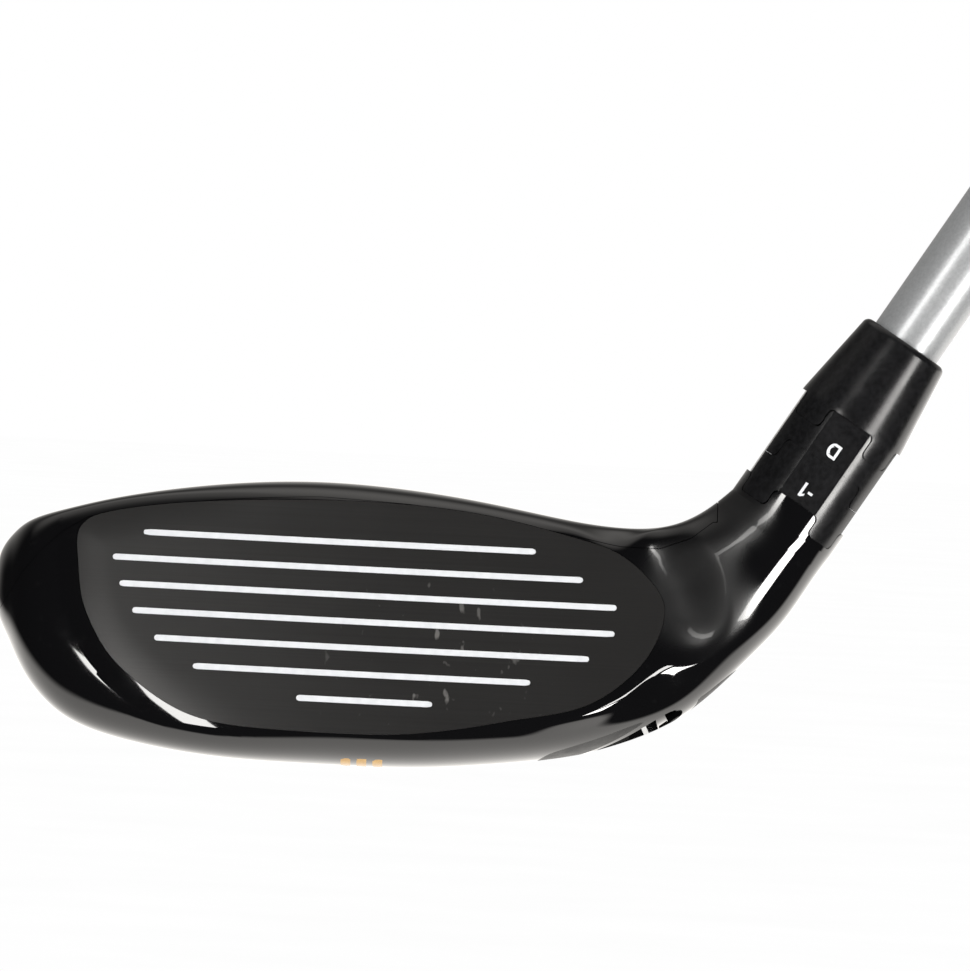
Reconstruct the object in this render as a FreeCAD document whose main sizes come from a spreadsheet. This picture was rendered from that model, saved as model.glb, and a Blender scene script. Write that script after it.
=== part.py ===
"""Hybrid golf club, built piece by piece: hollow head, adjustable hosel adapter, shaft and grip.

Row frame: millimetres, +Z up, origin at the centre of the butt end. The club stands at address: the face
looks along -Y, the toe points along -X, and the shaft rises from the head towards +X at the lie angle.
Head pieces are drawn in the ground frame, whose z = 0 is the ground and whose y = 0 is the foot of the
face plane, and are carried to the row frame by their Placement. Pieces on the shaft's axis are drawn
along their own +Z, which their Placement turns to the lie angle.
"""
import FreeCAD, Part
import math
import os

import Sketcher
from FreeCAD import Placement, Rotation, Vector

doc = FreeCAD.newDocument("hybrid_club")

# ---------------------------------------------------------------------------------------------------
# Driving dimensions, in millimetres and degrees. Names ending in _r are radii. Names starting with at_
# are places on the shaft's axis, measured up it from the ground.
# ---------------------------------------------------------------------------------------------------
DIMENSIONS = {
    "lie_deg": 58.2,          # shaft against the ground
    "loft_deg": 18.0,         # face plane against the vertical
    "club_length": 1016.0,    # ground to butt end, along the shaft
    "axis_x": 32.3,           # where the axis meets the ground, heelward of the face centre
    "axis_y": 14.5,           # the axis behind the foot of the face plane
    "bulge_r": 280.0,         # heel-to-toe curve of the face
    "head_wall": 1.5,
    "skin_thick": 0.4,        # matt skin and gold bars let into the sole
    "face_thick": 2.4,
    "seam": 0.1,              # gap along seams between the head's panels
    "groove_pitch": 3.6,      # along the face
    "groove_width": 0.8,
    "groove_depth": 0.35,
    "adapter_r": 7.8,         # hosel, cogs and sleeve, outside
    "tube_r": 6.0,            # sleeve's tube
    "cog_bore_r": 6.1,
    "hosel_bore_r": 6.7,
    "hosel_wall_r": 7.9,      # hosel tube inside the hollow head
    "liner_r": 6.7,           # the same tube where the face plate passes in front of it
    "label_y": 7.25,          # label flats, from the axis
    "tab_half": 3.4,          # half width of the notches that take the four tabs
    "tooth_half": 2.7,        # half width of the notches that take the four teeth
    "wide_tab_half": 5.95,
    "wide_tooth_half": 5.25,
    "tooth_chamfer": 0.7,
    "at_sleeve_top": 69.9,
    "sleeve_top_r": 6.2,
    "at_cone_foot": 57.3,
    "at_cog_top": 57.2,
    "at_sleeve_teeth": 54.2,
    "at_cog_land": 54.1,
    "at_lower_top": 50.7,
    "at_upper_notch": 50.8,
    "at_upper_foot": 47.8,
    "at_lower_land": 47.7,
    "at_rim": 44.3,
    "at_lower_notch": 44.4,
    "at_lower_foot": 41.7,
    "at_rim_notch": 41.6,
    "at_neck_end": 41.0,
    "at_clip": 33.0,
    "clip_height": 1.2,
    "clip_r": 6.5,
    "at_shaft_tip": 31.0,
    "at_bore_land": 30.0,
    "at_tube_foot": 26.7,
    "at_bore_step": 26.2,
    "at_sleeve_foot": 20.2,
    "at_web_top": 19.7,
    "at_bolt_seat": 17.5,
    "washer_thick": 0.8,
    "bolt_head_r": 3.2,
    "bolt_head_height": 4.0,
    "bolt_shank_r": 1.9,
    "bolt_thread_r": 2.0,
    "at_bolt_tip": 29.5,
    "thread_bore_r": 2.1,
    "stem_r": 4.3,            # narrow foot of the sleeve
    "stem_bore_r": 4.4,
    "pocket_r": 3.9,          # wrench pocket under the bolt
    "socket_half": 1.6,
    "shaft_tip_r": 4.835,
    "shaft_butt_r": 7.6,
    "shaft_wall": 1.0,
    "at_taper": 110.0,
    "at_parallel": 735.0,
    "at_grip_mouth": 743.0,
    "grip_mouth_r": 9.0,
    "grip_waist_r": 10.2,
    "at_grip_waist": 850.0,
    "grip_butt_r": 13.2,
    "at_cap": 1013.0,
    "at_shaft_end": 1012.9,
    "tape_r": 7.85,
    "vent_r": 1.0,
    "weight_port_y": 44.0,
    "weight_r": 6.0,
    "weight_tilt_deg": 12.0,
}

sheet = doc.addObject("Spreadsheet::Sheet", "dims")
for row, (alias, size) in enumerate(DIMENSIONS.items(), start=1):
    sheet.set(f"A{row}", alias)
    sheet.set(f"B{row}", str(size))
    sheet.setAlias(f"B{row}", alias)
doc.recompute()


def value(expression):
    """Adds up sheet cells and plain numbers, as in "tube_r + seam - 0.1"."""
    total, sign = 0.0, 1
    for word in expression.split():
        if word in ("+", "-"):
            sign = 1 if word == "+" else -1
        else:
            total += sign * (float(word) if word[0].isdigit() else sheet.get(word))
            sign = 1
    return total


def bound(expression):
    """The same sum, written for setExpression."""
    words = expression.split()
    return " ".join(w if w in ("+", "-") or w[0].isdigit() else "dims." + w for w in words)


LIE = math.radians(value("lie_deg"))
LOFT = math.tan(math.radians(value("loft_deg")))
UP_SHAFT = Vector(math.cos(LIE), 0, math.sin(LIE))
AXIS_FOOT = Vector(value("axis_x"), value("axis_y"), 0)
BUTT = AXIS_FOOT + UP_SHAFT * value("club_length")
TURN = Rotation(Vector(0, 1, 0), 90 - value("lie_deg"))
HEAD_PLACE = Placement(BUTT * -1, Rotation())
AXIS_PLACE = Placement(UP_SHAFT * -value("club_length"), TURN)
AXIS_IN_HEAD = Placement(AXIS_FOOT, TURN)

sub_parts = []


def finish(obj, label, place):
    """Names a finished sub-part and puts it in the row frame."""
    obj.Label = label
    obj.Placement = place
    sub_parts.append(obj)
    return obj


def feature(name, shape, place, label=None):
    """A sub-part whose shape comes from Part functions."""
    obj = doc.addObject("Part::Feature", name)
    obj.Shape = shape
    return finish(obj, label or name, place)


# ---------------------------------------------------------------------------------------------------
# Sketched bodies
# ---------------------------------------------------------------------------------------------------
def closed_sketch(body, name, role, corners):
    """A closed outline of sheet sums; every corner is held to the sketch's origin."""
    sketch = body.newObject("Sketcher::SketchObject", name)
    plane = next(f for f in body.Origin.OriginFeatures if f.Role == role)
    sketch.AttachmentSupport = (plane, [""])
    sketch.MapMode = "FlatFace"
    spots = [Vector(value(x), value(y), 0) for x, y in corners]
    for i, spot in enumerate(spots):
        sketch.addGeometry(Part.LineSegment(spot, spots[(i + 1) % len(spots)]), False)
    for i in range(len(spots)):
        sketch.addConstraint(Sketcher.Constraint("Coincident", i, 2, (i + 1) % len(spots), 1))
    for i, (x, y) in enumerate(corners):
        for kind, expression in (("DistanceX", x), ("DistanceY", y)):
            held = sketch.addConstraint(Sketcher.Constraint(kind, -1, 1, i, 1, value(expression)))
            sketch.setExpression(f"Constraints[{held}]", bound(expression))
    return sketch


def revolved(name, corners):
    """A body turned about its own Z from (radius, height) corners."""
    body = doc.addObject("PartDesign::Body", name)
    sketch = closed_sketch(body, name + "_profile", "XZ_Plane", corners)
    turn = body.newObject("PartDesign::Revolution", name + "_turn")
    turn.Profile = sketch
    turn.ReferenceAxis = (sketch, ["V_Axis"])
    turn.Angle = 360
    doc.recompute()
    return body


def cut_across(body, name, role, corners, copies=1, step_deg=90, turn_deg=0):
    """Cuts an outline right through the body, both ways from its plane, and repeats it round Z."""
    sketch = closed_sketch(body, name + "_outline", role, corners)
    upright = role != "XY_Plane"
    if turn_deg:
        sketch.AttachmentOffset = Placement(Vector(), Rotation(Vector(0, 1, 0), turn_deg))
    pocket = body.newObject("PartDesign::Pocket", name)
    pocket.Profile = sketch
    pocket.Midplane = True
    pocket.Length = 60 if upright else 300
    doc.recompute()
    if copies > 1:
        ring = body.newObject("PartDesign::PolarPattern", name + "_ring")
        ring.Originals = [pocket]
        ring.Axis = (sketch, ["V_Axis"] if upright else ["N_Axis"])
        ring.Angle = step_deg * (copies - 1)
        ring.Occurrences = copies
        body.Tip = ring
        doc.recompute()
    return body


def negative(expression):
    flipped = {"+": "-", "-": "+"}
    return "0 - " + " ".join(flipped.get(word, word) for word in expression.split())


def notch(half, mouth, base, opens_up):
    """Outline of a notch between two teeth, its corners chamfered."""
    out, into = ("+", "-") if opens_up else ("-", "+")
    c = "tooth_chamfer"
    right = [(f"{half} + {c}", f"{mouth} {out} 2"), (f"{half} + {c}", mouth),
             (half, f"{mouth} {into} {c}"), (half, f"{base} {out} {c}"), (f"{half} - {c}", base)]
    return right + [(negative(x), y) for x, y in reversed(right)]


# ---------------------------------------------------------------------------------------------------
# Shaft side
# ---------------------------------------------------------------------------------------------------
shaft_fit = "shaft_tip_r + 0.065"

shaft = revolved("shaft", [
    ("shaft_tip_r", "at_shaft_tip"), ("shaft_tip_r", "at_taper"), ("shaft_butt_r", "at_parallel"),
    ("shaft_butt_r", "at_shaft_end"), ("shaft_butt_r - shaft_wall", "at_shaft_end"),
    ("shaft_butt_r - shaft_wall", "at_parallel"), ("shaft_tip_r - shaft_wall", "at_taper"),
    ("shaft_tip_r - shaft_wall", "at_shaft_tip")])
finish(shaft, "shaft", AXIS_PLACE)

tape = revolved("grip_tape", [
    ("shaft_butt_r + 0.05", "at_grip_mouth + 6"), ("tape_r", "at_grip_mouth + 6"),
    ("tape_r", "at_shaft_end - 2"), ("shaft_butt_r + 0.05", "at_shaft_end - 2")])
finish(tape, "grip_tape", AXIS_PLACE)

grip = revolved("grip", [
    ("shaft_butt_r + 0.05", "at_grip_mouth"), ("grip_mouth_r - 0.5", "at_grip_mouth"),
    ("grip_mouth_r", "at_grip_mouth + 0.5"), ("grip_mouth_r", "at_grip_mouth + 5"),
    ("grip_mouth_r - 0.4", "at_grip_mouth + 6"), ("grip_mouth_r", "at_grip_mouth + 7"),
    ("grip_waist_r", "at_grip_waist"), ("grip_butt_r", "at_cap - 6"), ("grip_butt_r", "at_cap"),
    ("tape_r + 0.05", "at_cap"), ("tape_r + 0.05", "at_grip_mouth + 6"),
    ("shaft_butt_r + 0.05", "at_grip_mouth + 6")])
finish(grip, "grip", AXIS_PLACE)

cap = revolved("grip_cap", [
    ("vent_r", "at_cap"), ("grip_butt_r", "at_cap"), ("grip_butt_r", "club_length - 2"),
    ("grip_butt_r - 0.6", "club_length - 0.6"), ("grip_butt_r - 2", "club_length"),
    ("vent_r", "club_length")])
finish(cap, "grip_cap", AXIS_PLACE)

collar = revolved("sleeve_collar", [
    ("tube_r - 0.5", "at_sleeve_teeth"), ("adapter_r", "at_sleeve_teeth"),
    ("adapter_r", "at_cone_foot"), ("sleeve_top_r", "at_sleeve_top - 0.7"),
    ("sleeve_top_r - 0.25", "at_sleeve_top - 0.2"), ("sleeve_top_r - 0.7", "at_sleeve_top"),
    (shaft_fit, "at_sleeve_top"), (shaft_fit, "at_cone_foot + 2"), ("tube_r - 0.5", "at_cone_foot + 1")])
cut_across(collar, "tab_notch", "XZ_Plane",
           notch("tab_half", "at_sleeve_teeth", "at_cone_foot", False), copies=2)
tube = revolved("sleeve_tube", [
    ("thread_bore_r", "at_sleeve_foot"), ("stem_r - 0.4", "at_sleeve_foot"),
    ("stem_r", "at_sleeve_foot + 0.4"), ("stem_r", "at_tube_foot"), ("tube_r - 0.4", "at_tube_foot"),
    ("tube_r", "at_tube_foot + 0.4"), ("tube_r", "at_clip"), ("tube_r - 0.4", "at_clip"),
    ("tube_r - 0.4", "at_clip + clip_height"), ("tube_r", "at_clip + clip_height"),
    ("tube_r", "at_cone_foot + 1"), (shaft_fit, "at_cone_foot + 2"), (shaft_fit, "at_shaft_tip - 0.1"),
    ("thread_bore_r", "at_shaft_tip - 0.1")])
sleeve = doc.addObject("Part::MultiFuse", "sleeve")
sleeve.Shapes = [collar, tube]
doc.recompute()
finish(sleeve, "sleeve", AXIS_PLACE)

clip = revolved("cog_clip", [
    ("tube_r - 0.35", "at_clip + 0.05"), ("clip_r", "at_clip + 0.05"),
    ("clip_r", "at_clip + clip_height - 0.05"), ("tube_r - 0.35", "at_clip + clip_height - 0.05")])
finish(clip, "cog_clip", AXIS_PLACE)

FLAT = [("0 - 9", "0 - 12"), ("9", "0 - 12"), ("9", "0 - label_y"), ("0 - 9", "0 - label_y")]


def cog(name, foot, top):
    body = revolved(name, [("cog_bore_r", foot), ("adapter_r", foot), ("adapter_r", top),
                           ("cog_bore_r", top)])
    return cut_across(body, name + "_label_flat", "XY_Plane", FLAT, copies=4)


upper_cog = cog("upper_cog", "at_upper_foot", "at_cog_top")
cut_across(upper_cog, "upper_tooth_notch", "XZ_Plane",
           notch("tooth_half", "at_cog_top", "at_cog_land", True), copies=2, turn_deg=45)
cut_across(upper_cog, "upper_wide_notch", "XZ_Plane",
           notch("wide_tab_half", "at_upper_foot", "at_upper_notch", False))
finish(upper_cog, "upper_cog", AXIS_PLACE)

lower_cog = cog("lower_cog", "at_lower_foot", "at_lower_top")
cut_across(lower_cog, "lower_tab_notch", "XZ_Plane",
           notch("tab_half", "at_lower_foot", "at_lower_notch", False), copies=2)
cut_across(lower_cog, "lower_wide_notch", "YZ_Plane",
           notch("wide_tooth_half", "at_lower_top", "at_lower_land", True))
finish(lower_cog, "lower_cog", AXIS_PLACE)

# The setting marks are paint on the front flats. They read from the far end of the head, so each is
# drawn upright about its own centre and turned half a turn.
MARK_THICK = 0.08


def mark_slab(wire_points, centre_at, holes=()):
    """A flat painted figure from (across, up) points about a place on the front label flat."""
    def face(points):
        spots = [Vector(-x, -value("label_y"), centre_at - z) for x, z in points]
        return Part.Face(Part.makePolygon(spots + spots[:1]))

    shape = face(wire_points)
    for hole in holes:
        shape = shape.cut(face(hole))
    return shape.extrude(Vector(0, -MARK_THICK, 0))


def letter_d(half_width, half_height):
    """Outline of a letter D: a straight back and a half-ellipse bow."""
    bow = [math.pi / 2 - math.pi * i / 14 for i in range(15)]
    straight = half_width * 0.1
    return ([(-half_width, -half_height), (-half_width, half_height)]
            + [(straight + (half_width - straight) * math.cos(a), half_height * math.sin(a)) for a in bow])


STROKE = 0.36
outer_d = letter_d(0.8, 1.02)
inner_d = [(x - math.copysign(STROKE, x) if abs(x) > 0.4 else x, z * (1.02 - STROKE) / 1.02)
           for x, z in outer_d]
feature("upper_mark", mark_slab(outer_d, 52.7, holes=[inner_d]), AXIS_PLACE)

one = [(0.25, -1.02), (0.62, -1.02), (0.62, 1.02), (0.3, 1.02), (-0.12, 0.72), (-0.12, 0.36), (0.25, 0.6)]
minus = [(-1.05, -0.2), (-0.38, -0.2), (-0.38, 0.16), (-1.05, 0.16)]
feature("lower_mark", mark_slab(one, 46.3).fuse(mark_slab(minus, 46.3)), AXIS_PLACE)

# ---------------------------------------------------------------------------------------------------
# Bolt and washer, drawn on the axis in the head
# ---------------------------------------------------------------------------------------------------
head_seat = "at_bolt_seat - washer_thick"
bolt = revolved("bolt", [
    ("0", f"{head_seat} - bolt_head_height"), ("bolt_head_r - 0.4", f"{head_seat} - bolt_head_height"),
    ("bolt_head_r", f"{head_seat} - bolt_head_height + 0.4"), ("bolt_head_r", head_seat),
    ("bolt_shank_r", head_seat), ("bolt_shank_r", "at_web_top + 1"),
    ("bolt_thread_r", "at_web_top + 1.2"), ("bolt_thread_r", "at_bolt_tip - 0.6"),
    ("bolt_thread_r - 0.6", "at_bolt_tip"), ("0", "at_bolt_tip")])
SQUARE = [("0 - socket_half", "0 - socket_half"), ("socket_half", "0 - socket_half"),
          ("socket_half", "socket_half"), ("0 - socket_half", "socket_half")]
socket_outline = closed_sketch(bolt, "socket_outline", "XY_Plane", SQUARE)
socket = bolt.newObject("PartDesign::Pocket", "socket")
socket.Profile = socket_outline
socket.Midplane = True
socket.setExpression("Length", "2 * (dims.at_bolt_seat - dims.washer_thick - 1.2)")
doc.recompute()
finish(bolt, "bolt", AXIS_PLACE)

washer = revolved("bolt_washer", [
    ("bolt_shank_r + 0.2", "at_bolt_seat - washer_thick"),
    ("bolt_head_r", "at_bolt_seat - washer_thick"), ("bolt_head_r", "at_bolt_seat"),
    ("bolt_shank_r + 0.2", "at_bolt_seat")])
finish(washer, "bolt_washer", AXIS_PLACE)

# ---------------------------------------------------------------------------------------------------
# Head
# ---------------------------------------------------------------------------------------------------
# Sections from the toe tip to the end of the neck, each standing on its bottom point and leaning to its
# top point. Depths are counted from the leaning face plane: front line, then how far behind it the top
# and bottom lines lie, then the rear line. Shares place the front and rear lines up the section.
# Squareness shapes the two front corners. The neck share turns the section into the hosel's circle.
SECTIONS = [
    # top x, z     bottom x, z    front  top  bottom rear   share f,r   square t,b  neck
    (-49.8, 21.4, -49.8, 21.40, 15.00, 0.0, 0.0, 15.0, 0.50, 0.50, 2.4, 2.4, 0.00),
    (-49.3, 25.4, -49.3, 17.80, 10.20, 4.0, 4.6, 21.0, 0.55, 0.50, 2.5, 2.4, 0.00),
    (-47.6, 28.2, -47.6, 14.30, 7.50, 5.0, 7.0, 25.5, 0.62, 0.48, 2.8, 2.4, 0.00),
    (-45.0, 30.3, -45.0, 9.70, 4.90, 5.6, 9.5, 31.5, 0.72, 0.46, 3.4, 2.6, 0.00),
    (-40.0, 32.1, -40.0, 4.90, 2.90, 5.6, 11.5, 38.0, 0.80, 0.43, 4.2, 3.1, 0.00),
    (-32.0, 34.2, -32.0, 2.05, 0.90, 6.4, 12.5, 44.5, 0.70, 0.40, 4.2, 3.1, 0.00),
    (-20.0, 36.2, -20.0, 0.45, -1.75, 10.0, 12.5, 49.5, 0.58, 0.38, 3.6, 2.8, 0.00),
    (-7.0, 37.1, -7.0, 0.00, -3.20, 12.0, 15.0, 51.5, 0.52, 0.38, 3.3, 2.6, 0.00),
    (5.0, 36.6, 5.0, 0.05, -3.40, 12.0, 16.0, 51.0, 0.51, 0.38, 3.3, 2.6, 0.00),
    (14.0, 35.6, 14.5, 0.70, -2.60, 10.5, 16.5, 49.0, 0.53, 0.38, 3.5, 2.6, 0.00),
    (21.0, 34.5, 25.0, 2.10, -1.20, 9.0, 16.0, 45.0, 0.55, 0.39, 3.4, 2.5, 0.01),
    (26.8, 33.6, 34.5, 4.60, 0.10, 7.5, 14.5, 39.0, 0.55, 0.40, 3.0, 2.2, 0.05),
    (31.8, 33.1, 43.0, 9.30, 2.60, 6.6, 11.4, 34.0, 0.60, 0.42, 2.4, 2.1, 0.14),
    (36.4, 33.2, 50.0, 16.20, 2.90, 7.7, 9.6, 28.5, 0.55, 0.45, 2.2, 2.1, 0.45),
    (40.5, 34.2, 54.8, 21.80, 4.90, 7.4, 8.5, 25.0, 0.51, 0.48, 2.1, 2.0, 0.80),
    (44.2, 36.3, 58.2, 27.20, 6.50, 7.8, 7.9, 23.0, 0.50, 0.50, 2.0, 2.0, 0.98),
    (47.27, 38.96, 60.53, 30.74, 6.70, 7.8, 7.8, 22.3, 0.50, 0.50, 2.0, 2.0, 1.00),
]
TOE_GHOSTS = 3


def mirrored(section):
    """The section that continues the surface smoothly round the toe tip."""
    tip = SECTIONS[0]
    xt, zt, xb, zb, front, top, bottom, rear = section[:8]
    return (xb, zb, xt, zt, 2 * tip[4] - front, -top, -bottom, 2 * tip[7] - rear) + section[8:]


def bends(values):
    """Second derivatives of the natural cubic spline through evenly spaced values."""
    n = len(values)
    upper, right, bend = [0.0] * n, [0.0] * n, [0.0] * n
    for i in range(1, n - 1):
        pivot = 4 - upper[i - 1]
        upper[i] = 1 / pivot
        right[i] = (6 * (values[i + 1] - 2 * values[i] + values[i - 1]) - right[i - 1]) / pivot
    for i in range(n - 2, 0, -1):
        bend[i] = right[i] - upper[i] * bend[i + 1]
    return bend


ALL_SECTIONS = [mirrored(s) for s in SECTIONS[TOE_GHOSTS:0:-1]] + SECTIONS
COLUMNS = [(column, bends(column)) for column in zip(*ALL_SECTIONS)]


def section_at(u):
    """Section number u, between the listed ones."""
    place = u + TOE_GHOSTS
    i = min(int(place), len(ALL_SECTIONS) - 2)
    f = place - i
    return [c[i] * (1 - f) + c[i + 1] * f - f * (1 - f) / 6 * ((2 - f) * b[i] + (1 + f) * b[i + 1])
            for c, b in COLUMNS]


def section_point(section, turn, inset=0.0):
    """A point of the section: turn 0 is the bottom, 0.25 the front, 0.5 the top, 0.75 the rear."""
    xt, zt, xb, zb, front, top, bottom, rear, share_f, share_r, square_t, square_b, neck = section
    neck = min(max(neck, 0.0), 1.0)
    height = math.hypot(xt - xb, zt - zb)
    ex, ez = ((xt - xb) / height, (zt - zb) / height) if height > 1e-6 else (0.0, 1.0)
    xb, zb, height = xb + ex * inset, zb + ez * inset, height - 2 * inset
    front, rear, top, bottom = front + inset, rear - inset, top - inset / 2, bottom - inset / 2
    quarter, rest = divmod((turn % 1) * 4, 1)
    s, c = math.sin(rest * math.pi / 2), math.cos(rest * math.pi / 2)
    up_f, up_r = height * share_f, height * share_r
    if quarter == 0:
        p = 2 / square_b
        depth, up = front + bottom * (1 - s ** p), up_f * (1 - c ** p)
    elif quarter == 1:
        p = 2 / square_t
        depth, up = front + top * (1 - c ** p), up_f + (height - up_f) * s ** p
    elif quarter == 2:
        p = 2 / (2.1 - 0.1 * neck)
        depth, up = front + top + (rear - front - top) * s ** p, up_r + (height - up_r) * c ** p
    else:
        p = 2 / (2.3 - 0.3 * neck)
        depth, up = front + bottom + (rear - front - bottom) * c ** p, up_r * (1 - s ** p)
    x, z = xb + ex * up, zb + ez * up
    return Vector(x, depth + LOFT * z * (1 - neck), z)


def skin(inset, first, last, step=0.5, around=32):
    """Solid bounded by the head's surface, set in by the inset, between two section numbers."""
    count = round((last - first) / step)
    places = [j / around for j in range(around + 1)]
    wires = []
    for i in range(count + 1):
        section = section_at(first + (last - first) * i / count)
        curve = Part.BSplineCurve()
        curve.interpolate(Points=[section_point(section, place, inset) for place in places[:-1]],
                          Parameters=places, PeriodicFlag=True)
        wires.append(Part.Wire([curve.toShape()]))
    return Part.makeLoft(wires, True, False)


def on_axis(radius, low, high):
    """A cylinder on the shaft's axis, in the ground frame."""
    shape = Part.makeCylinder(radius, high - low, Vector(0, 0, low))
    shape.Placement = AXIS_IN_HEAD.multiply(shape.Placement)
    return shape


def behind_face(setback):
    """Everything behind the bulged face surface, moved back by setback along the face's normal."""
    lean = Rotation(Vector(1, 0, 0), -value("loft_deg"))
    radius = value("bulge_r") - setback
    shape = Part.makeCylinder(radius, 400, Vector(0, 0, -200))
    cos_loft = math.cos(math.radians(value("loft_deg")))
    shape.Placement = Placement(Vector(0, value("bulge_r") / cos_loft, 0), lean)
    return shape


def prism(points, low, high, closed_spline=True):
    """A block with an outline of (x, z) points, from y = low to y = high."""
    spots = [Vector(x, low, z) for x, z in points]
    if closed_spline:
        curve = Part.BSplineCurve()
        curve.interpolate(Points=spots, PeriodicFlag=True)
        wire = Part.Wire([curve.toShape()])
    else:
        wire = Part.makePolygon(spots + spots[:1])
    return Part.Face(wire).extrude(Vector(0, high - low, 0))


def slot(x0, z0, x1, z1, width, low, high):
    """A rounded slot from one end point to the other."""
    across = Vector(x1 - x0, 0, z1 - z0).normalize()
    side = Vector(-across.z, 0, across.x) * (width / 2)
    a, b = Vector(x0, low, z0), Vector(x1, low, z1)
    out = across * (width / 2)
    edges = [Part.makeLine(a + side, b + side), Part.Arc(b + side, b + out, b - side).toShape(),
             Part.makeLine(b - side, a - side), Part.Arc(a - side, a - out, a + side).toShape()]
    return Part.Face(Part.Wire(edges)).extrude(Vector(0, high - low, 0))


WALL = value("head_wall")
SEAM = value("seam")
LAST = len(SECTIONS) - 1

# The milled face ends in a curve at the heel and runs out in the rounded edges elsewhere.
MILLED = [(-70, -20), (16, -20), (24.0, 2.0), (28.5, 8.6), (33.1, 12.1), (37.2, 16.6), (39.1, 22.0),
          (38.5, 24.6), (36.4, 27.2), (33.0, 29.6), (27.6, 31.9), (25.5, 36.0), (24, 60), (-70, 60)]
# Outline of the face insert, from the toe's top corner round by the sole.
INSERT = [(-38.8, 29.0), (-38.6, 25.4), (-38.0, 21.3), (-36.8, 18.0), (-34.2, 13.8), (-30.8, 10.6),
          (-26.3, 7.6), (-20.8, 5.5), (-12.0, 4.7), (-1.9, 4.6), (5.8, 4.9), (14.8, 6.3), (20.8, 7.6),
          (28.0, 9.2), (33.1, 12.1), (37.2, 16.6), (39.1, 22.0), (38.0, 25.3), (33.0, 29.6), (27.6, 31.4),
          (16.7, 33.7), (3.5, 34.9), (-9.7, 34.8), (-25.4, 33.6), (-34.6, 32.0), (-37.6, 30.8)]


def shrunk(points, gap):
    """The outline moved towards its inside, for points listed anticlockwise."""
    result = []
    for i, (x, z) in enumerate(points):
        (x0, z0), (x1, z1) = points[i - 1], points[(i + 1) % len(points)]
        length = math.hypot(x1 - x0, z1 - z0)
        result.append((x - (z1 - z0) / length * gap, z + (x1 - x0) / length * gap))
    return result


outside = skin(0, 0.25, LAST)
milled = prism(MILLED, -60, 120, closed_spline=False).cut(behind_face(0))
outside = outside.cut(milled)
hollow = skin(WALL, 1.25, 12.5)
hosel_wall = on_axis(value("hosel_wall_r"), 0, 60)
shell = outside.cut(hollow.cut(hosel_wall))

# Crown seam: its height along the head, at the top line and at the trailing edge.
SEAM_LINE = [(-60, 8, 5), (-49.5, 17.5, 14), (-47.4, 21.0, 15), (-46.0, 23.5, 15), (-43.5, 26.8, 15),
             (-40.9, 29.4, 15), (-37.5, 31.6, 15), (-30, 33.1, 15), (-20, 34.4, 15), (-7, 35.3, 15),
             (5, 34.8, 15), (14, 33.8, 15.5), (21, 32.7, 17), (27, 31.7, 19), (33, 30.8, 22),
             (38, 30.7, 26), (42, 32.2, 29.5), (44.8, 34.6, 34), (45.6, 37.0, 37), (44.2, 40, 40)]
FRONT_Y, REAR_Y = 12.0, 58.0


def above_seam(drop):
    """Everything above the crown seam, lowered by drop."""
    wires = []
    for y in (-20, 90):
        share = (y - FRONT_Y) / (REAR_Y - FRONT_Y)
        spots = [Vector(x, y, a + (b - a) * share - drop) for x, a, b in SEAM_LINE]
        curve = Part.BSplineCurve()
        curve.interpolate(Points=spots)
        top = [spots[-1], Vector(spots[-1].x, y, 90), Vector(-60, y, 90), spots[0]]
        wires.append(Part.Wire([curve.toShape()] + Part.makePolygon(top).Edges))
    return Part.makeLoft(wires, True, True)


crown = shell.common(above_seam(0))
body = shell.cut(above_seam(SEAM))

# Hosel: the neck goes on as a ring with four tabs, bored for the sleeve.
rim = revolved("hosel_rim", [
    ("hosel_bore_r", "at_neck_end - 0.5"), ("adapter_r - 0.04", "at_neck_end"),
    ("adapter_r - 0.04", "at_rim"), ("hosel_bore_r", "at_rim")])
cut_across(rim, "rim_notch", "XZ_Plane",
           notch("tooth_half", "at_rim", "at_rim_notch", True), copies=2, turn_deg=45)
rim_shape = rim.Shape.copy()
rim_shape.Placement = AXIS_IN_HEAD
body = body.fuse(rim_shape)
for radius, low, high in (
        ("hosel_bore_r", "at_bore_land", "at_rim + 5"), ("cog_bore_r", "at_bore_step", "at_bore_land + 1"),
        ("stem_bore_r", "at_web_top", "at_bore_step + 1"),
        ("bolt_shank_r + 0.4", "at_bolt_seat - 1", "at_web_top + 1"), ("pocket_r", "0 - 10", "at_bolt_seat")):
    body = body.cut(on_axis(value(radius), value(low), value(high)))

# Rear weight: a boss inside the sole with a stepped, threaded port.
port = Placement(Vector(0, value("weight_port_y"), 0), Rotation(Vector(1, 0, 0), value("weight_tilt_deg")))


def at_port(radius, low, high):
    shape = Part.makeCylinder(radius, high - low, Vector(0, 0, low))
    shape.Placement = port.multiply(shape.Placement)
    return shape


boss = at_port(value("weight_r") + 2.2, -6, 11).common(outside)
body = body.fuse(boss)
body = body.cut(at_port(value("weight_r") + 0.4, -10, 4.6)).cut(at_port(2.6, 0, 12))

# Face insert with its score lines.
window = prism(INSERT, -20, 60).common(behind_face(-2).cut(behind_face(value("face_thick") + 0.3)))
window = window.cut(on_axis(value("liner_r"), 5, 45))
body = body.cut(window)
crown = crown.cut(window)
face_plate = prism(shrunk(INSERT, SEAM / 2), -20, 60)
face_plate = face_plate.common(behind_face(0).cut(behind_face(value("face_thick"))))
face_plate = face_plate.cut(on_axis(value("liner_r") + SEAM, 5, 45))

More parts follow.
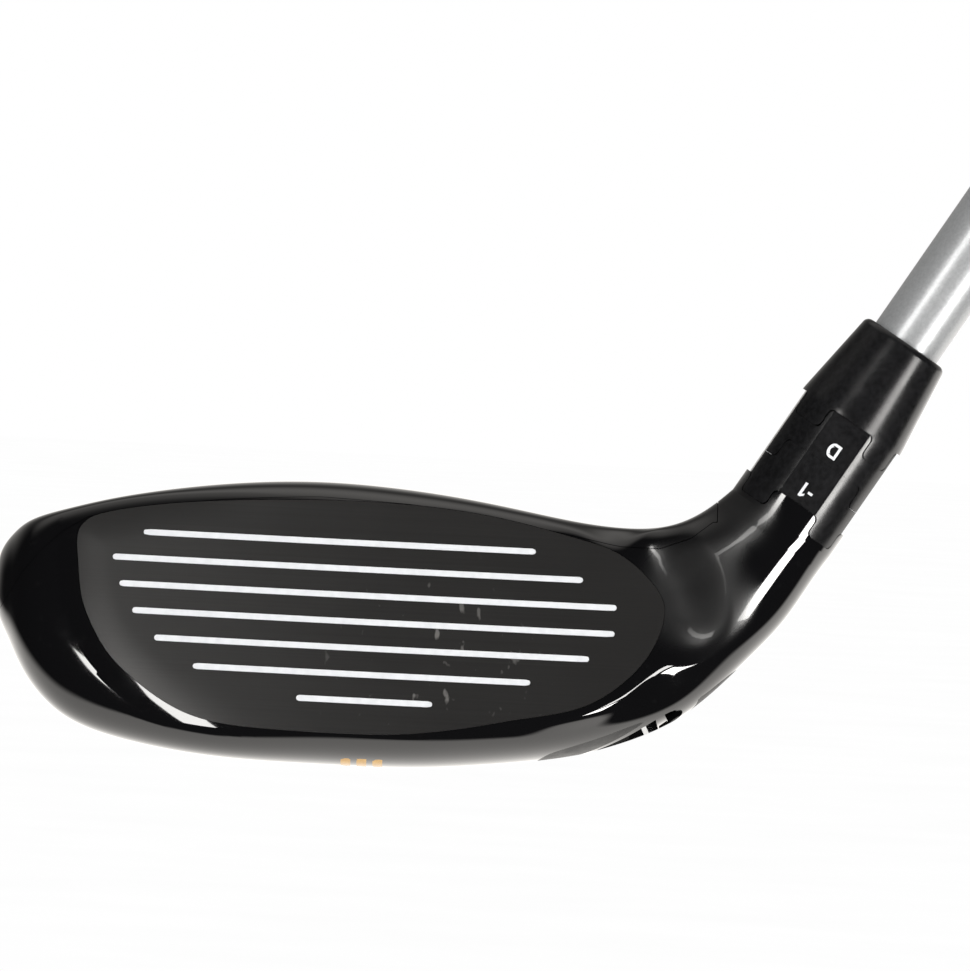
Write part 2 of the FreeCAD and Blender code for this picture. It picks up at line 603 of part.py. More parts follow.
SCORE_SPANS = [(-30.1, 21.7), (-34.0, 28.1), (-32.9, 32.7), (-31.0, 32.6), (-27.9, 29.4), (-22.6, 21.8),
               (-8.8, 9.1)]
SCORE_TOP = 29.5
groove_step = value("groove_pitch") * math.cos(math.radians(value("loft_deg")))
cuts, paints = [], []
for i, (x0, x1) in enumerate(SCORE_SPANS):
    z = SCORE_TOP - i * groove_step
    half = value("groove_width") / 2
    cuts.append(slot(x0 + half, z, x1 - half, z, 2 * half, -20, 60))
    paints.append(slot(x0 + half, z, x1 - half, z, 2 * half - 0.06, -20, 60))
groove_depth = value("groove_depth")
band = behind_face(-1).cut(behind_face(groove_depth))
for cut in cuts:
    face_plate = face_plate.cut(cut.common(band))
paint_band = behind_face(0.04).cut(behind_face(groove_depth - 0.03))
paint = Part.makeCompound([p.common(paint_band) for p in paints])

# Panels let into the sole: a satin plate, a matt skin at the heel and three gold bars.
low_wall = Part.makeBox(120, 100, 14, Vector(-60, -5, -6))


def plan_prism(points, low, high):
    """A block with a rounded outline of (x, y) points, from z = low to z = high."""
    curve = Part.BSplineCurve()
    curve.interpolate(Points=[Vector(x, y, low) for x, y in points], PeriodicFlag=True)
    return Part.Face(Part.Wire([curve.toShape()])).extrude(Vector(0, 0, high - low))


SOLE_PLATE = [(-22, 17), (-8, 15.5), (6, 15.5), (18, 17), (22, 22), (19, 28), (12, 33), (0, 34.5),
              (-12, 33.5), (-21, 29), (-25, 22.5)]
sole_block = plan_prism(SOLE_PLATE, -6, 4.5)
sole_plate = body.common(plan_prism(shrunk(SOLE_PLATE, SEAM / 2), -6, 4.5))
body = body.cut(sole_block)

thin = outside.cut(skin(value("skin_thick"), 0.5, LAST - 0.5))
HEEL_SKIN = [(21.5, -1.0), (26.0, -3.0), (40.0, 0.0), (50.0, 9.0), (53.0, 15.0), (50.5, 15.9), (44.2, 11.2),
             (37.8, 8.2), (31.3, 5.5), (26.2, 3.6), (23.6, 2.2)]
heel_block = prism(HEEL_SKIN, -5, 27)
port_clear = on_axis(value("pocket_r") + 0.8, -10, 20)
heel_panel = thin.common(prism(shrunk(HEEL_SKIN, SEAM / 2), -5, 26.95)).cut(port_clear)
body = body.cut(thin.common(heel_block).cut(port_clear))

bars = []
for i in range(3):
    x = -2.6 + i * 2.1
    bars.append(Part.makeBox(1.3, 4.2, 6, Vector(x, 4.8, -2)))
bar_block = Part.makeCompound(bars)
sole_marks = Part.makeCompound([thin.common(bar) for bar in bars])
body = body.cut(sole_marks)

# Inside the hollow: a toe weight against the sole and a bar from sole to crown.
inside = hollow.cut(hosel_wall)
toe_weight = inside.common(Part.makeBox(10, 16, 30, Vector(-42, 16, -18))).cut(milled)
brace = inside.common(Part.makeCylinder(1.8, 60, Vector(-14, 22, -10)))

feature("head_body", body, HEAD_PLACE)
feature("crown", crown, HEAD_PLACE)
feature("face_plate", face_plate, HEAD_PLACE)
feature("score_paint", paint, HEAD_PLACE)
feature("sole_plate", sole_plate, HEAD_PLACE)
feature("heel_panel", heel_panel, HEAD_PLACE)
feature("sole_marks", sole_marks, HEAD_PLACE)
feature("toe_weight", toe_weight, HEAD_PLACE)
feature("brace", brace, HEAD_PLACE)

# Weight screw and its rubber ring, drawn in the port's own frame.
PORT_PLACE = HEAD_PLACE.multiply(port)
screw = revolved("weight_screw", [
    ("0", "1.2"), ("weight_r - 0.4", "1.2"), ("weight_r", "1.6"), ("weight_r", "3.8"), ("2.4", "3.8"),
    ("2.4", "9.4"), ("2", "10"), ("0", "10")])
hex_outline = closed_sketch(screw, "hex_outline", "XY_Plane", SQUARE)
hexagon = screw.newObject("PartDesign::Pocket", "drive")
hexagon.Profile = hex_outline
hexagon.Midplane = True
hexagon.Length = 6.4
doc.recompute()
finish(screw, "weight_screw", PORT_PLACE)
ring = revolved("weight_ring", [("2.8", "3.9"), ("weight_r - 0.2", "3.9"), ("weight_r - 0.2", "4.5"),
                                ("2.8", "4.5")])
finish(ring, "weight_ring", PORT_PLACE)

# ---------------------------------------------------------------------------------------------------
# Check and write
# ---------------------------------------------------------------------------------------------------
doc.recompute()
for obj in doc.Objects:
    if "Invalid" in obj.State or "Error" in obj.State:
        raise RuntimeError(f"{obj.Name} is {obj.State}")
for obj in sub_parts:
    if obj.Shape.isNull() or not obj.Shape.isValid() or obj.Shape.Volume <= 0:
        raise RuntimeError(f"{obj.Label} has no valid shape")

os.makedirs("parts", exist_ok=True)
for obj in sub_parts:
    obj.Shape.exportStep(f"parts/{obj.Label}.step")
    box = obj.Shape.BoundBox
    print(f"{obj.Label:14s} {len(obj.Shape.Solids)} solids {obj.Shape.Volume:10.1f} mm3  "
          f"x {box.XMin:8.1f} {box.XMax:8.1f}  y {box.YMin:6.1f} {box.YMax:6.1f}  "
          f"z {box.ZMin:8.1f} {box.ZMax:8.1f}")
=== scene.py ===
"""Look of the hybrid golf club: smooth head, adapter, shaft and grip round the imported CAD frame."""

import math

import bmesh
import bpy
import numpy as np
from mathutils import Matrix, Vector
from mathutils.bvhtree import BVHTree


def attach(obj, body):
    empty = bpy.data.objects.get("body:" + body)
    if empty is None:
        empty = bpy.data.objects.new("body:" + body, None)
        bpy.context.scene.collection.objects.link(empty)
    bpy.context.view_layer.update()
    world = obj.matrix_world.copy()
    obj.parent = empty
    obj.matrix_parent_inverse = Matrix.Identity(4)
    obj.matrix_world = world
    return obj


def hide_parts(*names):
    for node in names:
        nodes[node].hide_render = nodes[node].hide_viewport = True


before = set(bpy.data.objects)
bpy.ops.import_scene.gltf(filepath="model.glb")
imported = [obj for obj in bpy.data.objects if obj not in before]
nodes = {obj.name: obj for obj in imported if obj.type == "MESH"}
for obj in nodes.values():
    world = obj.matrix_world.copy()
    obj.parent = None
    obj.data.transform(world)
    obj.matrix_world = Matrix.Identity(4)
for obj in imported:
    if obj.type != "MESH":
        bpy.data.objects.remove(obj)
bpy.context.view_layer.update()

# Frames. Head shapes are in millimetres in the ground frame: z = 0 is the ground, y = 0
# the foot of the face plane, x = 0 the face centre. Pieces on the shaft's axis use
# millimetres up the axis.
LIE = math.radians(58.2)
LOFT_ANGLE = math.radians(18.0)
LOFT = math.tan(LOFT_ANGLE)
BULGE_R = 280.0
CLUB_LENGTH = 1016.0
AXIS_FOOT = Vector((32.3, 14.5, 0.0))
UP_SHAFT = Vector((math.cos(LIE), 0.0, math.sin(LIE)))
BUTT = AXIS_FOOT + UP_SHAFT * CLUB_LENGTH
MM = 0.001
HEAD_FRAME = Matrix.Translation(-BUTT * MM) @ Matrix.Scale(MM, 4)
AXIS_IN_HEAD = Matrix.Translation(AXIS_FOOT) @ Matrix.Rotation(math.pi / 2 - LIE, 4, "Y")
AXIS_FRAME = HEAD_FRAME @ AXIS_IN_HEAD
ADAPTER_R = 7.8


# Head surface: the same sections as the CAD head
SECTIONS = np.array([
    # top x, z     bottom x, z    front  top  bottom rear   share f,r   square t,b  neck
    (-49.8, 21.4, -49.8, 21.40, 15.00, 0.0, 0.0, 15.0, 0.50, 0.50, 2.4, 2.4, 0.00),
    (-49.3, 25.4, -49.3, 17.80, 10.20, 4.0, 4.6, 21.0, 0.55, 0.50, 2.5, 2.4, 0.00),
    (-47.6, 28.2, -47.6, 14.30, 7.50, 5.0, 7.0, 25.5, 0.62, 0.48, 2.8, 2.4, 0.00),
    (-45.0, 30.3, -45.0, 9.70, 4.90, 5.6, 9.5, 31.5, 0.72, 0.46, 3.4, 2.6, 0.00),
    (-40.0, 32.1, -40.0, 4.90, 2.90, 5.6, 11.5, 38.0, 0.80, 0.43, 4.2, 3.1, 0.00),
    (-32.0, 34.2, -32.0, 2.05, 0.90, 6.4, 12.5, 44.5, 0.70, 0.40, 4.2, 3.1, 0.00),
    (-20.0, 36.2, -20.0, 0.45, -1.75, 10.0, 12.5, 49.5, 0.58, 0.38, 3.6, 2.8, 0.00),
    (-7.0, 37.1, -7.0, 0.00, -3.20, 12.0, 15.0, 51.5, 0.52, 0.38, 3.3, 2.6, 0.00),
    (5.0, 36.6, 5.0, 0.05, -3.40, 12.0, 16.0, 51.0, 0.51, 0.38, 3.3, 2.6, 0.00),
    (14.0, 35.6, 14.5, 0.70, -2.60, 10.5, 16.5, 49.0, 0.53, 0.38, 3.5, 2.6, 0.00),
    (21.0, 34.5, 25.0, 2.10, -1.20, 9.0, 16.0, 45.0, 0.55, 0.39, 3.4, 2.5, 0.01),
    (26.8, 33.6, 34.5, 4.60, 0.10, 7.5, 14.5, 39.0, 0.55, 0.40, 3.0, 2.2, 0.05),
    (31.8, 33.1, 43.0, 9.30, 2.60, 6.6, 11.4, 34.0, 0.60, 0.42, 2.4, 2.1, 0.14),
    (36.4, 33.2, 50.0, 16.20, 2.90, 7.7, 9.6, 28.5, 0.55, 0.45, 2.2, 2.1, 0.45),
    (40.5, 34.2, 54.8, 21.80, 4.90, 7.4, 8.5, 25.0, 0.51, 0.48, 2.1, 2.0, 0.80),
    (44.2, 36.3, 58.2, 27.20, 6.50, 7.8, 7.9, 23.0, 0.50, 0.50, 2.0, 2.0, 0.98),
    (47.27, 38.96, 60.53, 30.74, 6.70, 7.8, 7.8, 22.3, 0.50, 0.50, 2.0, 2.0, 1.00),
])
TOE_GHOSTS = 3
LAST = len(SECTIONS) - 1


def mirrored(section):
    """The section that continues the surface smoothly round the toe tip."""
    tip = SECTIONS[0]
    xt, zt, xb, zb, front, top, bottom, rear = section[:8]
    turned = [xb, zb, xt, zt, 2 * tip[4] - front, -top, -bottom, 2 * tip[7] - rear]
    return np.concatenate([turned, section[8:]])


def spline_bends(values):
    """Second derivatives of the natural cubic spline through evenly spaced rows."""
    n = len(values)
    system = np.eye(n) * 4 + np.eye(n, k=1) + np.eye(n, k=-1)
    system[0], system[-1] = np.eye(n)[0], np.eye(n)[-1]
    right = np.zeros_like(values)
    right[1:-1] = 6 * (values[2:] - 2 * values[1:-1] + values[:-2])
    return np.linalg.solve(system, right)


ALL_SECTIONS = np.array([mirrored(s) for s in SECTIONS[TOE_GHOSTS:0:-1]] + list(SECTIONS))
BENDS = spline_bends(ALL_SECTIONS)


def sections_at(u):
    place = np.asarray(u) + TOE_GHOSTS
    i = np.clip(place.astype(int), 0, len(ALL_SECTIONS) - 2)
    f = (place - i)[:, None]
    a, b, ba, bb = ALL_SECTIONS[i], ALL_SECTIONS[i + 1], BENDS[i], BENDS[i + 1]
    return a * (1 - f) + b * f - f * (1 - f) / 6 * ((2 - f) * ba + (1 + f) * bb)


def skin_points(uv):
    """Points of the uncut head surface: u is the section number, v the turn round it."""
    xt, zt, xb, zb, front, top, bottom, rear, share_f, share_r, square_t, square_b, neck = \
        sections_at(uv[:, 0]).T
    neck = np.clip(neck, 0.0, 1.0)
    height = np.hypot(xt - xb, zt - zb)
    safe = np.maximum(height, 1e-9)
    ex, ez = (xt - xb) / safe, (zt - zb) / safe
    turn = np.mod(uv[:, 1], 1.0) * 4
    quarter = np.minimum(turn.astype(int), 3)
    angle = (turn - quarter) * math.pi / 2
    s, c = np.sin(angle), np.cos(angle)
    s, c = np.clip(s, 0, 1), np.clip(c, 0, 1)
    up_f, up_r = height * share_f, height * share_r
    pb, pt = 2 / square_b, 2 / square_t
    pr, ps = 2 / (2.1 - 0.1 * neck), 2 / (2.3 - 0.3 * neck)
    depth = np.select(
        [quarter == 0, quarter == 1, quarter == 2],
        [front + bottom * (1 - s ** pb), front + top * (1 - c ** pt),
         front + top + (rear - front - top) * s ** pr],
        front + bottom + (rear - front - bottom) * c ** ps)
    up = np.select(
        [quarter == 0, quarter == 1, quarter == 2],
        [up_f * (1 - c ** pb), up_f + (height - up_f) * s ** pt, up_r + (height - up_r) * c ** pr],
        up_r * (1 - s ** ps))
    x, z = xb + ex * up, zb + ez * up
    return np.stack([x, depth + LOFT * z * (1 - neck), z], axis=1)


def closed_curve(points, count):
    """A smooth closed curve through the points, as a polyline."""
    p = np.array(points, float)
    steps = np.sqrt(np.linalg.norm(np.roll(p, -1, axis=0) - p, axis=1))
    n = len(p)
    system, right = np.zeros((n, n)), np.zeros((n, 2))
    for i in range(n):
        before, after = steps[i - 1], steps[i]
        system[i, i - 1] = before
        system[i, i] = 2 * (before + after)
        system[i, (i + 1) % n] = after
        right[i] = 6 * ((p[(i + 1) % n] - p[i]) / after - (p[i] - p[i - 1]) / before)
    bend = np.linalg.solve(system, right)
    result = []
    for i in range(n):
        j, width = (i + 1) % n, steps[i]
        for k in range(count):
            f = k / count
            a, b = 1 - f, f
            result.append(a * p[i] + b * p[j]
                          + ((a ** 3 - a) * bend[i] + (b ** 3 - b) * bend[j]) * width ** 2 / 6)
    return np.array(result)


def inside_distance(points, loop):
    """Distance from the loop, positive inside it."""
    result = np.empty(len(points))
    a, b = loop, np.roll(loop, -1, axis=0)
    d = b - a
    length2 = np.maximum((d ** 2).sum(1), 1e-12)
    for start in range(0, len(points), 4000):
        q = points[start:start + 4000, None, :]
        t = np.clip(((q - a) * d).sum(2) / length2, 0, 1)
        near = np.sqrt((((a + t[..., None] * d) - q) ** 2).sum(2)).min(1)
        qy, qx = q[..., 1], q[..., 0]
        crosses = (a[:, 1] > qy) != (b[:, 1] > qy)
        slope = np.where(d[:, 1] == 0, 1e-12, d[:, 1])
        hits = crosses & (qx < a[:, 0] + (qy - a[:, 1]) / slope * d[:, 0])
        result[start:start + 4000] = np.where(hits.sum(1) % 2 == 1, near, -near)
    return result


# Outline of the face insert and the end of the milled face at the heel, as (x, z).
INSERT = closed_curve([
    (-38.8, 29.0), (-38.6, 25.4), (-38.0, 21.3), (-36.8, 18.0), (-34.2, 13.8), (-30.8, 10.6),
    (-26.3, 7.6), (-20.8, 5.5), (-12.0, 4.7), (-1.9, 4.6), (5.8, 4.9), (14.8, 6.3), (20.8, 7.6),
    (28.0, 9.2), (33.1, 12.1), (37.2, 16.6), (39.1, 22.0), (38.0, 25.3), (33.0, 29.6), (27.6, 31.4),
    (16.7, 33.7), (3.5, 34.9), (-9.7, 34.8), (-25.4, 33.6), (-34.6, 32.0), (-37.6, 30.8)], 12)
MILLED = np.array([
    (-70, -20), (16, -20), (24.0, 2.0), (28.5, 8.6), (33.1, 12.1), (37.2, 16.6), (39.1, 22.0),
    (38.5, 24.6), (36.4, 27.2), (33.0, 29.6), (27.6, 31.9), (25.5, 36.0), (24, 60), (-70, 60)])

# Toward the toe the milled face rolls back at its edge.
ROLL_DEPTH, ROLL_WIDTH, ROLL_LIMIT = 0.3, 4.5, 1.6
ROLL_START, ROLL_FULL = -12.0, -28.0


def smooth_step(value):
    share = np.clip(value, 0, 1)
    return share ** 2 * (3 - 2 * share)


def face_depth(x, z):
    """How far behind the face plane's foot the milled face lies, with its bulge and toe roll."""
    edge = inside_distance(np.stack([x, z], axis=1), INSERT)
    toward_toe = smooth_step((x - ROLL_START) / (ROLL_FULL - ROLL_START))
    share = np.clip(1 - edge / ROLL_WIDTH, 0, ROLL_LIMIT) ** 2 * toward_toe
    bulge = (BULGE_R - np.sqrt(BULGE_R ** 2 - x ** 2)) / math.cos(LOFT_ANGLE)
    return LOFT * z + bulge + ROLL_DEPTH * share


def ahead(points):
    """How far points stand in front of the milled face surface."""
    return face_depth(points[:, 0], points[:, 2]) - points[:, 1]


# Softness of the milled edge: along the face, at the toe, and where it fades at the heel.
EDGE_BLEND, TOE_BLEND, HEEL_BLEND = 0.45, 1.1, 1.2
TOE_BLEND_START, TOE_BLEND_LENGTH = -8.0, 12.0
HEEL_BLEND_START, HEEL_BLEND_LENGTH = 20.0, 10.0
HEEL_FADE = 9.0
FRONT_HALF, FRONT_FADE = 0.27, 0.02  # share of a turn round the head that is cut, and its fade


def milled_points(uv):
    """The surface with the flat face cut: its edge is rounded, and it fades out at the heel."""
    p = skin_points(uv)
    limit = inside_distance(p[:, [0, 2]], MILLED)
    share = smooth_step(1 + limit / HEEL_FADE)
    front = smooth_step((FRONT_HALF - np.abs(np.mod(uv[:, 1], 1.0) - 0.25)) / FRONT_FADE)
    gap = ahead(p)
    to_toe = smooth_step((TOE_BLEND_START - p[:, 0]) / TOE_BLEND_LENGTH)
    blend = EDGE_BLEND + (TOE_BLEND - EDGE_BLEND) * to_toe
    near = np.maximum(blend - np.abs(gap), 0)
    sharp = np.maximum(gap, 0) + near ** 2 / (4 * blend)
    behind = np.minimum(gap, 0)
    soft = np.maximum(gap, 0) + behind * np.exp(-(behind / HEEL_BLEND) ** 2)
    to_heel = smooth_step((p[:, 0] - HEEL_BLEND_START) / HEEL_BLEND_LENGTH)
    p[:, 1] += (sharp * (1 - to_heel) + soft * to_heel) * share * front
    return p


def normals_of(shape, uv):
    """Outward unit normals of a surface function by small steps in u and v."""
    step_u, step_v = 2e-3, 2e-4
    u0, u1 = uv.copy(), uv.copy()
    u0[:, 0] = np.maximum(u0[:, 0] - step_u, 1e-4)
    u1[:, 0] = np.minimum(u1[:, 0] + step_u, LAST)
    v0, v1 = uv.copy(), uv.copy()
    v0[:, 1] -= step_v
    v1[:, 1] += step_v
    n = np.cross(shape(u1) - shape(u0), shape(v1) - shape(v0))
    return n / np.maximum(np.linalg.norm(n, axis=1), 1e-12)[:, None]


# Patches: polygons in a surface's own two coordinates, clipped along smooth outlines
class Patch:
    """uv: coordinates of the corners; polys: lists of corners; kinds: one mark per polygon."""

    def __init__(self, uv, polys, kinds=None):
        self.uv = [tuple(p) for p in uv]
        self.polys = polys
        self.kinds = kinds or ["skin"] * len(polys)

    @classmethod
    def sharing(cls, other, polys, kinds):
        """A patch on the same list of corners as another."""
        made = cls([], polys, kinds)
        made.kinds = kinds
        made.uv = other.uv
        return made

    def array(self):
        return np.array(self.uv, float).reshape(-1, 2)

    def split(self, inside):
        """Two patches: where inside(uv) is positive, and the rest. They share their cut corners."""
        values = inside(self.array())
        kept = (Patch.sharing(self, [], []), Patch.sharing(self, [], []))
        cuts = {}

        def crossing(a, b):
            key = (min(a, b), max(a, b))
            if key not in cuts:
                pa, pb = np.array(self.uv[key[0]]), np.array(self.uv[key[1]])
                fa, fb, low, high = values[key[0]], values[key[1]], 0.0, 1.0
                for _ in range(6):
                    t = low + (high - low) * np.clip(fa / (fa - fb), 0.05, 0.95)
                    f = inside((pa + (pb - pa) * t)[None, :])[0]
                    if (f > 0) == (fa > 0):
                        low, fa = t, f
                    else:
                        high, fb = t, f
                    if abs(f) < 1e-4:
                        break
                self.uv.append(tuple(pa + (pb - pa) * t))
                cuts[key] = len(self.uv) - 1
            return cuts[key]

        for poly, kind in zip(self.polys, self.kinds):
            signs = [values[i] > 0 for i in poly]
            for part, side in zip(kept, (True, False)):
                if all(s == side for s in signs):
                    part.polys.append(poly)
                    part.kinds.append(kind)
                    break
            else:
                for part, side in zip(kept, (True, False)):
                    corners = []
                    for k, i in enumerate(poly):
                        j = poly[(k + 1) % len(poly)]
                        if signs[k] == side:
                            corners.append(i)
                        if signs[k] != signs[(k + 1) % len(poly)]:
                            corners.append(crossing(i, j))
                    if len(corners) > 2:
                        part.polys.append(corners)
                        part.kinds.append(kind)
        return kept


def grid(us, vs, wrap_v):
    """A patch of quads over all pairs of us and vs."""
    uv = [(u, v) for u in us for v in vs]
    n, columns = len(vs), len(vs) if wrap_v else len(vs) - 1
    polys = [[i * n + j, i * n + (j + 1) % n, (i + 1) * n + (j + 1) % n, (i + 1) * n + j]
             for i in range(len(us) - 1) for j in range(columns)]
    return Patch(uv, polys)


def thick_mesh(name, patch, surfaces, normal_of, thickness, frame_matrix):
    """Makes a closed plate from a patch: its outer face, an inner face and edges all round.

    surfaces maps a polygon's kind to its point function, normal_of to its normals' function."""
    used = sorted({i for poly in patch.polys for i in poly})
    slot_of = {i: k for k, i in enumerate(used)}
    uv = patch.array()[used]
    by_kind = {kind: (surfaces[kind](uv), normal_of[kind](uv)) for kind in surfaces}
    first = next(iter(surfaces))
    outer = by_kind[first][0].copy()
    outward = by_kind[first][1].copy()
    for poly, kind in zip(patch.polys, patch.kinds):
        if kind != first:
            rows = [slot_of[i] for i in poly]
            outer[rows] = by_kind[kind][0][rows]
            outward[rows] = by_kind[kind][1][rows]
    count = len(used)
    inner = outer - outward * thickness
    faces, loop_normals = [], []
    edges = {}
    for poly, kind in zip(patch.polys, patch.kinds):
        rows = [slot_of[i] for i in poly]
        normals = by_kind[kind][1][rows]
        back = [r + count for r in reversed(rows)]
        faces += [rows, back]
        loop_normals += list(normals)
        loop_normals += [-outward[r - count] for r in back]
        for k, a in enumerate(rows):
            b = rows[(k + 1) % len(rows)]
            if (b, a) in edges:
                del edges[(b, a)]
            else:
                edges[(a, b)] = True
    points = np.concatenate([outer, inner])
    for a, b in edges:
        wall = [b, a, a + count, b + count]
        faces.append(wall)
        n = np.cross(points[wall[1]] - points[wall[0]], points[wall[2]] - points[wall[1]])
        n = n / max(np.linalg.norm(n), 1e-12)
        loop_normals += [n] * 4
    return mesh_object(name, points, faces, frame_matrix, loop_normals)


def mesh_object(name, points, faces, frame_matrix, loop_normals=None):
    """A smooth-shaded mesh object in the row frame, from points in another frame."""
    mesh = bpy.data.meshes.new(name)
    moved = np.asarray(points, float) @ np.array(frame_matrix.to_3x3()).T
    moved = moved + np.array(frame_matrix.translation)
    mesh.from_pydata(moved.tolist(), [], [list(map(int, f)) for f in faces])
    mesh.polygons.foreach_set("use_smooth", [True] * len(mesh.polygons))
    if loop_normals is not None:
        turn = np.array(frame_matrix.to_3x3().normalized())
        turned = np.asarray(loop_normals, float) @ turn.T
        mesh.normals_split_custom_set([tuple(n) for n in turned])
    mesh.update()
    obj = bpy.data.objects.new(name, mesh)
    bpy.context.scene.collection.objects.link(obj)
    return obj


# Head pieces
SEAM = 0.1
SEAM_LINE = np.array([
    (-60, 8, 5), (-49.5, 17.5, 14), (-47.4, 21.0, 15), (-46.0, 23.5, 15), (-43.5, 26.8, 15),
    (-40.9, 29.4, 15), (-37.5, 31.6, 15), (-30, 33.1, 15), (-20, 34.4, 15), (-7, 35.3, 15),
    (5, 34.8, 15), (14, 33.8, 15.5), (21, 32.7, 17), (27, 31.7, 19), (33, 30.8, 22),
    (38, 30.7, 26), (42, 32.2, 29.5), (44.8, 34.6, 34)])
FRONT_Y, REAR_Y = 12.0, 58.0
CROWN_END = 45.3


def above_seam(p, drop=0.0):
    """Height above the crown seam, negative past its end at the neck."""
    share = (p[:, 1] - FRONT_Y) / (REAR_Y - FRONT_Y)
    low = np.interp(p[:, 0], SEAM_LINE[:, 0], SEAM_LINE[:, 1])
    high = np.interp(p[:, 0], SEAM_LINE[:, 0], SEAM_LINE[:, 2])
    height = p[:, 2] - (low + (high - low) * share) + drop
    return np.minimum(height, CROWN_END - p[:, 0] + drop)


# Where the head's grid has its corners: finest at the toe tip.
AROUND_COUNT = 240
ALONG = np.concatenate([np.linspace(0.02, 0.6, 14)[:-1], np.linspace(0.6, 4, 56)[:-1],
                        np.linspace(4, LAST, 170)])


def in_front(uv):
    """Positive on the front half of the head."""
    return 100 * (0.25 - np.abs(np.mod(uv[:, 1], 1.0) - 0.25))


def on_plate(uv):
    p = milled_points(uv)
    return np.minimum(inside_distance(p[:, [0, 2]], INSERT), in_front(uv))


def underneath(uv):
    """Positive on the lower half of the head."""
    turn = np.mod(uv[:, 1] + 0.5, 1.0)
    return 100 * (0.22 - np.abs(turn - 0.5))


SOLE_PLATE = closed_curve([
    (-22, 17), (-8, 15.5), (6, 15.5), (18, 17), (22, 22), (19, 28), (12, 33), (0, 34.5),
    (-12, 33.5), (-21, 29), (-25, 22.5)], 10)
HEEL_SKIN = closed_curve([
    (21.5, -1.0), (26.0, -3.0), (40.0, 0.0), (50.0, 9.0), (53.0, 15.0), (50.5, 15.9), (44.2, 11.2),
    (37.8, 8.2), (31.3, 5.5), (26.2, 3.6), (23.6, 2.2)], 10)
HEEL_SKIN_DEPTH, HEEL_SKIN_TOP, HEEL_SKIN_RIM = 27.0, 30.0, 0.8
POCKET_R = 3.6
PORT_R = 6.4
PORT_FRAME = Matrix.Translation((0, 44.0, 0)) @ Matrix.Rotation(math.radians(12.0), 4, "X")
BAR_X, BAR_STEP, BAR_WIDTH, BAR_Y, BAR_LONG = -2.6, 2.1, 1.3, 4.8, 4.2


def off_axis(points, matrix):
    """Distance of points from the z axis of another frame."""
    inverse = matrix.inverted()
    q = points @ np.array(inverse.to_3x3()).T + np.array(inverse.translation)
    return np.hypot(q[:, 0], q[:, 1])


def on_sole_plate(uv):
    p = skin_points(uv)
    return np.minimum(inside_distance(p[:, :2], SOLE_PLATE), underneath(uv))


def on_heel_skin(uv):
    p = skin_points(uv)
    return np.min([inside_distance(p[:, [0, 2]], HEEL_SKIN), HEEL_SKIN_DEPTH - p[:, 1],
                   off_axis(p, AXIS_IN_HEAD) - POCKET_R - HEEL_SKIN_RIM,
                   HEEL_SKIN_TOP - p[:, 2]], axis=0)


def off_pocket(uv):
    p = skin_points(uv)
    return np.maximum(off_axis(p, AXIS_IN_HEAD) - POCKET_R, -underneath(uv))


def off_port(uv):
    p = skin_points(uv)
    return np.maximum(off_axis(p, PORT_FRAME) - PORT_R, -underneath(uv))


def off_bars(uv):
    p = skin_points(uv)
    middle = np.abs(np.mod(p[:, 0] - BAR_X, BAR_STEP) - BAR_WIDTH / 2) - BAR_WIDTH / 2
    ends = np.abs(p[:, 0] - BAR_X - BAR_STEP - BAR_WIDTH / 2) - BAR_STEP - BAR_WIDTH / 2
    along = np.abs(p[:, 1] - BAR_Y - BAR_LONG / 2) - BAR_LONG / 2
    inside = np.maximum(np.maximum(middle, ends), along)
    return np.maximum(inside, -underneath(uv))


SURFACES = {"skin": milled_points}
NORMALS = {"skin": lambda uv: normals_of(milled_points, uv)}
WALL, HEEL_SKIN_WALL = 1.0, 0.35

head = grid(ALONG, np.linspace(0, 1, AROUND_COUNT, endpoint=False), True)
head.polys.append(list(range(AROUND_COUNT))[::-1])
head.kinds.append("skin")
head.polys = [poly[::-1] for poly in head.polys]
whole_points = skin_points(head.array())
whole_polys = [list(p) for p in head.polys]

_, rest = head.split(on_plate)
crown, below = rest.split(lambda uv: above_seam(milled_points(uv)))
_, below = below.split(lambda uv: above_seam(milled_points(uv), SEAM))
sole, below = below.split(on_sole_plate)
heel, below = below.split(on_heel_skin)
below, _ = below.split(off_pocket)
below, _ = below.split(off_port)
below, _ = below.split(off_bars)

head_shell = thick_mesh("head_shell", below, SURFACES, NORMALS, WALL, HEAD_FRAME)
crown_panel = thick_mesh("crown_panel", crown, SURFACES, NORMALS, WALL, HEAD_FRAME)
sole_insert = thick_mesh("sole_insert", sole, SURFACES, NORMALS, WALL, HEAD_FRAME)
heel_skin = thick_mesh("heel_skin", heel, SURFACES, NORMALS, HEEL_SKIN_WALL, HEAD_FRAME)

# Face insert with its score lines, from the top line down.
SCORE_SPANS = [(-30.1, 21.7), (-34.0, 28.1), (-32.9, 32.7), (-31.0, 32.6), (-27.9, 29.4),
               (-22.6, 21.8), (-8.8, 9.1)]
SCORE_TOP, SCORE_STEP, SCORE_HALF = 29.5, 3.6 * math.cos(LOFT_ANGLE), 0.4
PAINT_DROP, PAINT_WALL, INSERT_WALL = 0.05, 0.25, 2.0


def face_points(xz, drop=0.0):
    return np.stack([xz[:, 0], face_depth(xz[:, 0], xz[:, 1]) + drop, xz[:, 1]], axis=1)


def face_normals(xz):
    step = 0.02
    right, up = np.array([step, 0]), np.array([0, step])
    n = np.cross(face_points(xz + right) - face_points(xz - right),
                 face_points(xz + up) - face_points(xz - up))
    return n / np.linalg.norm(n, axis=1)[:, None]


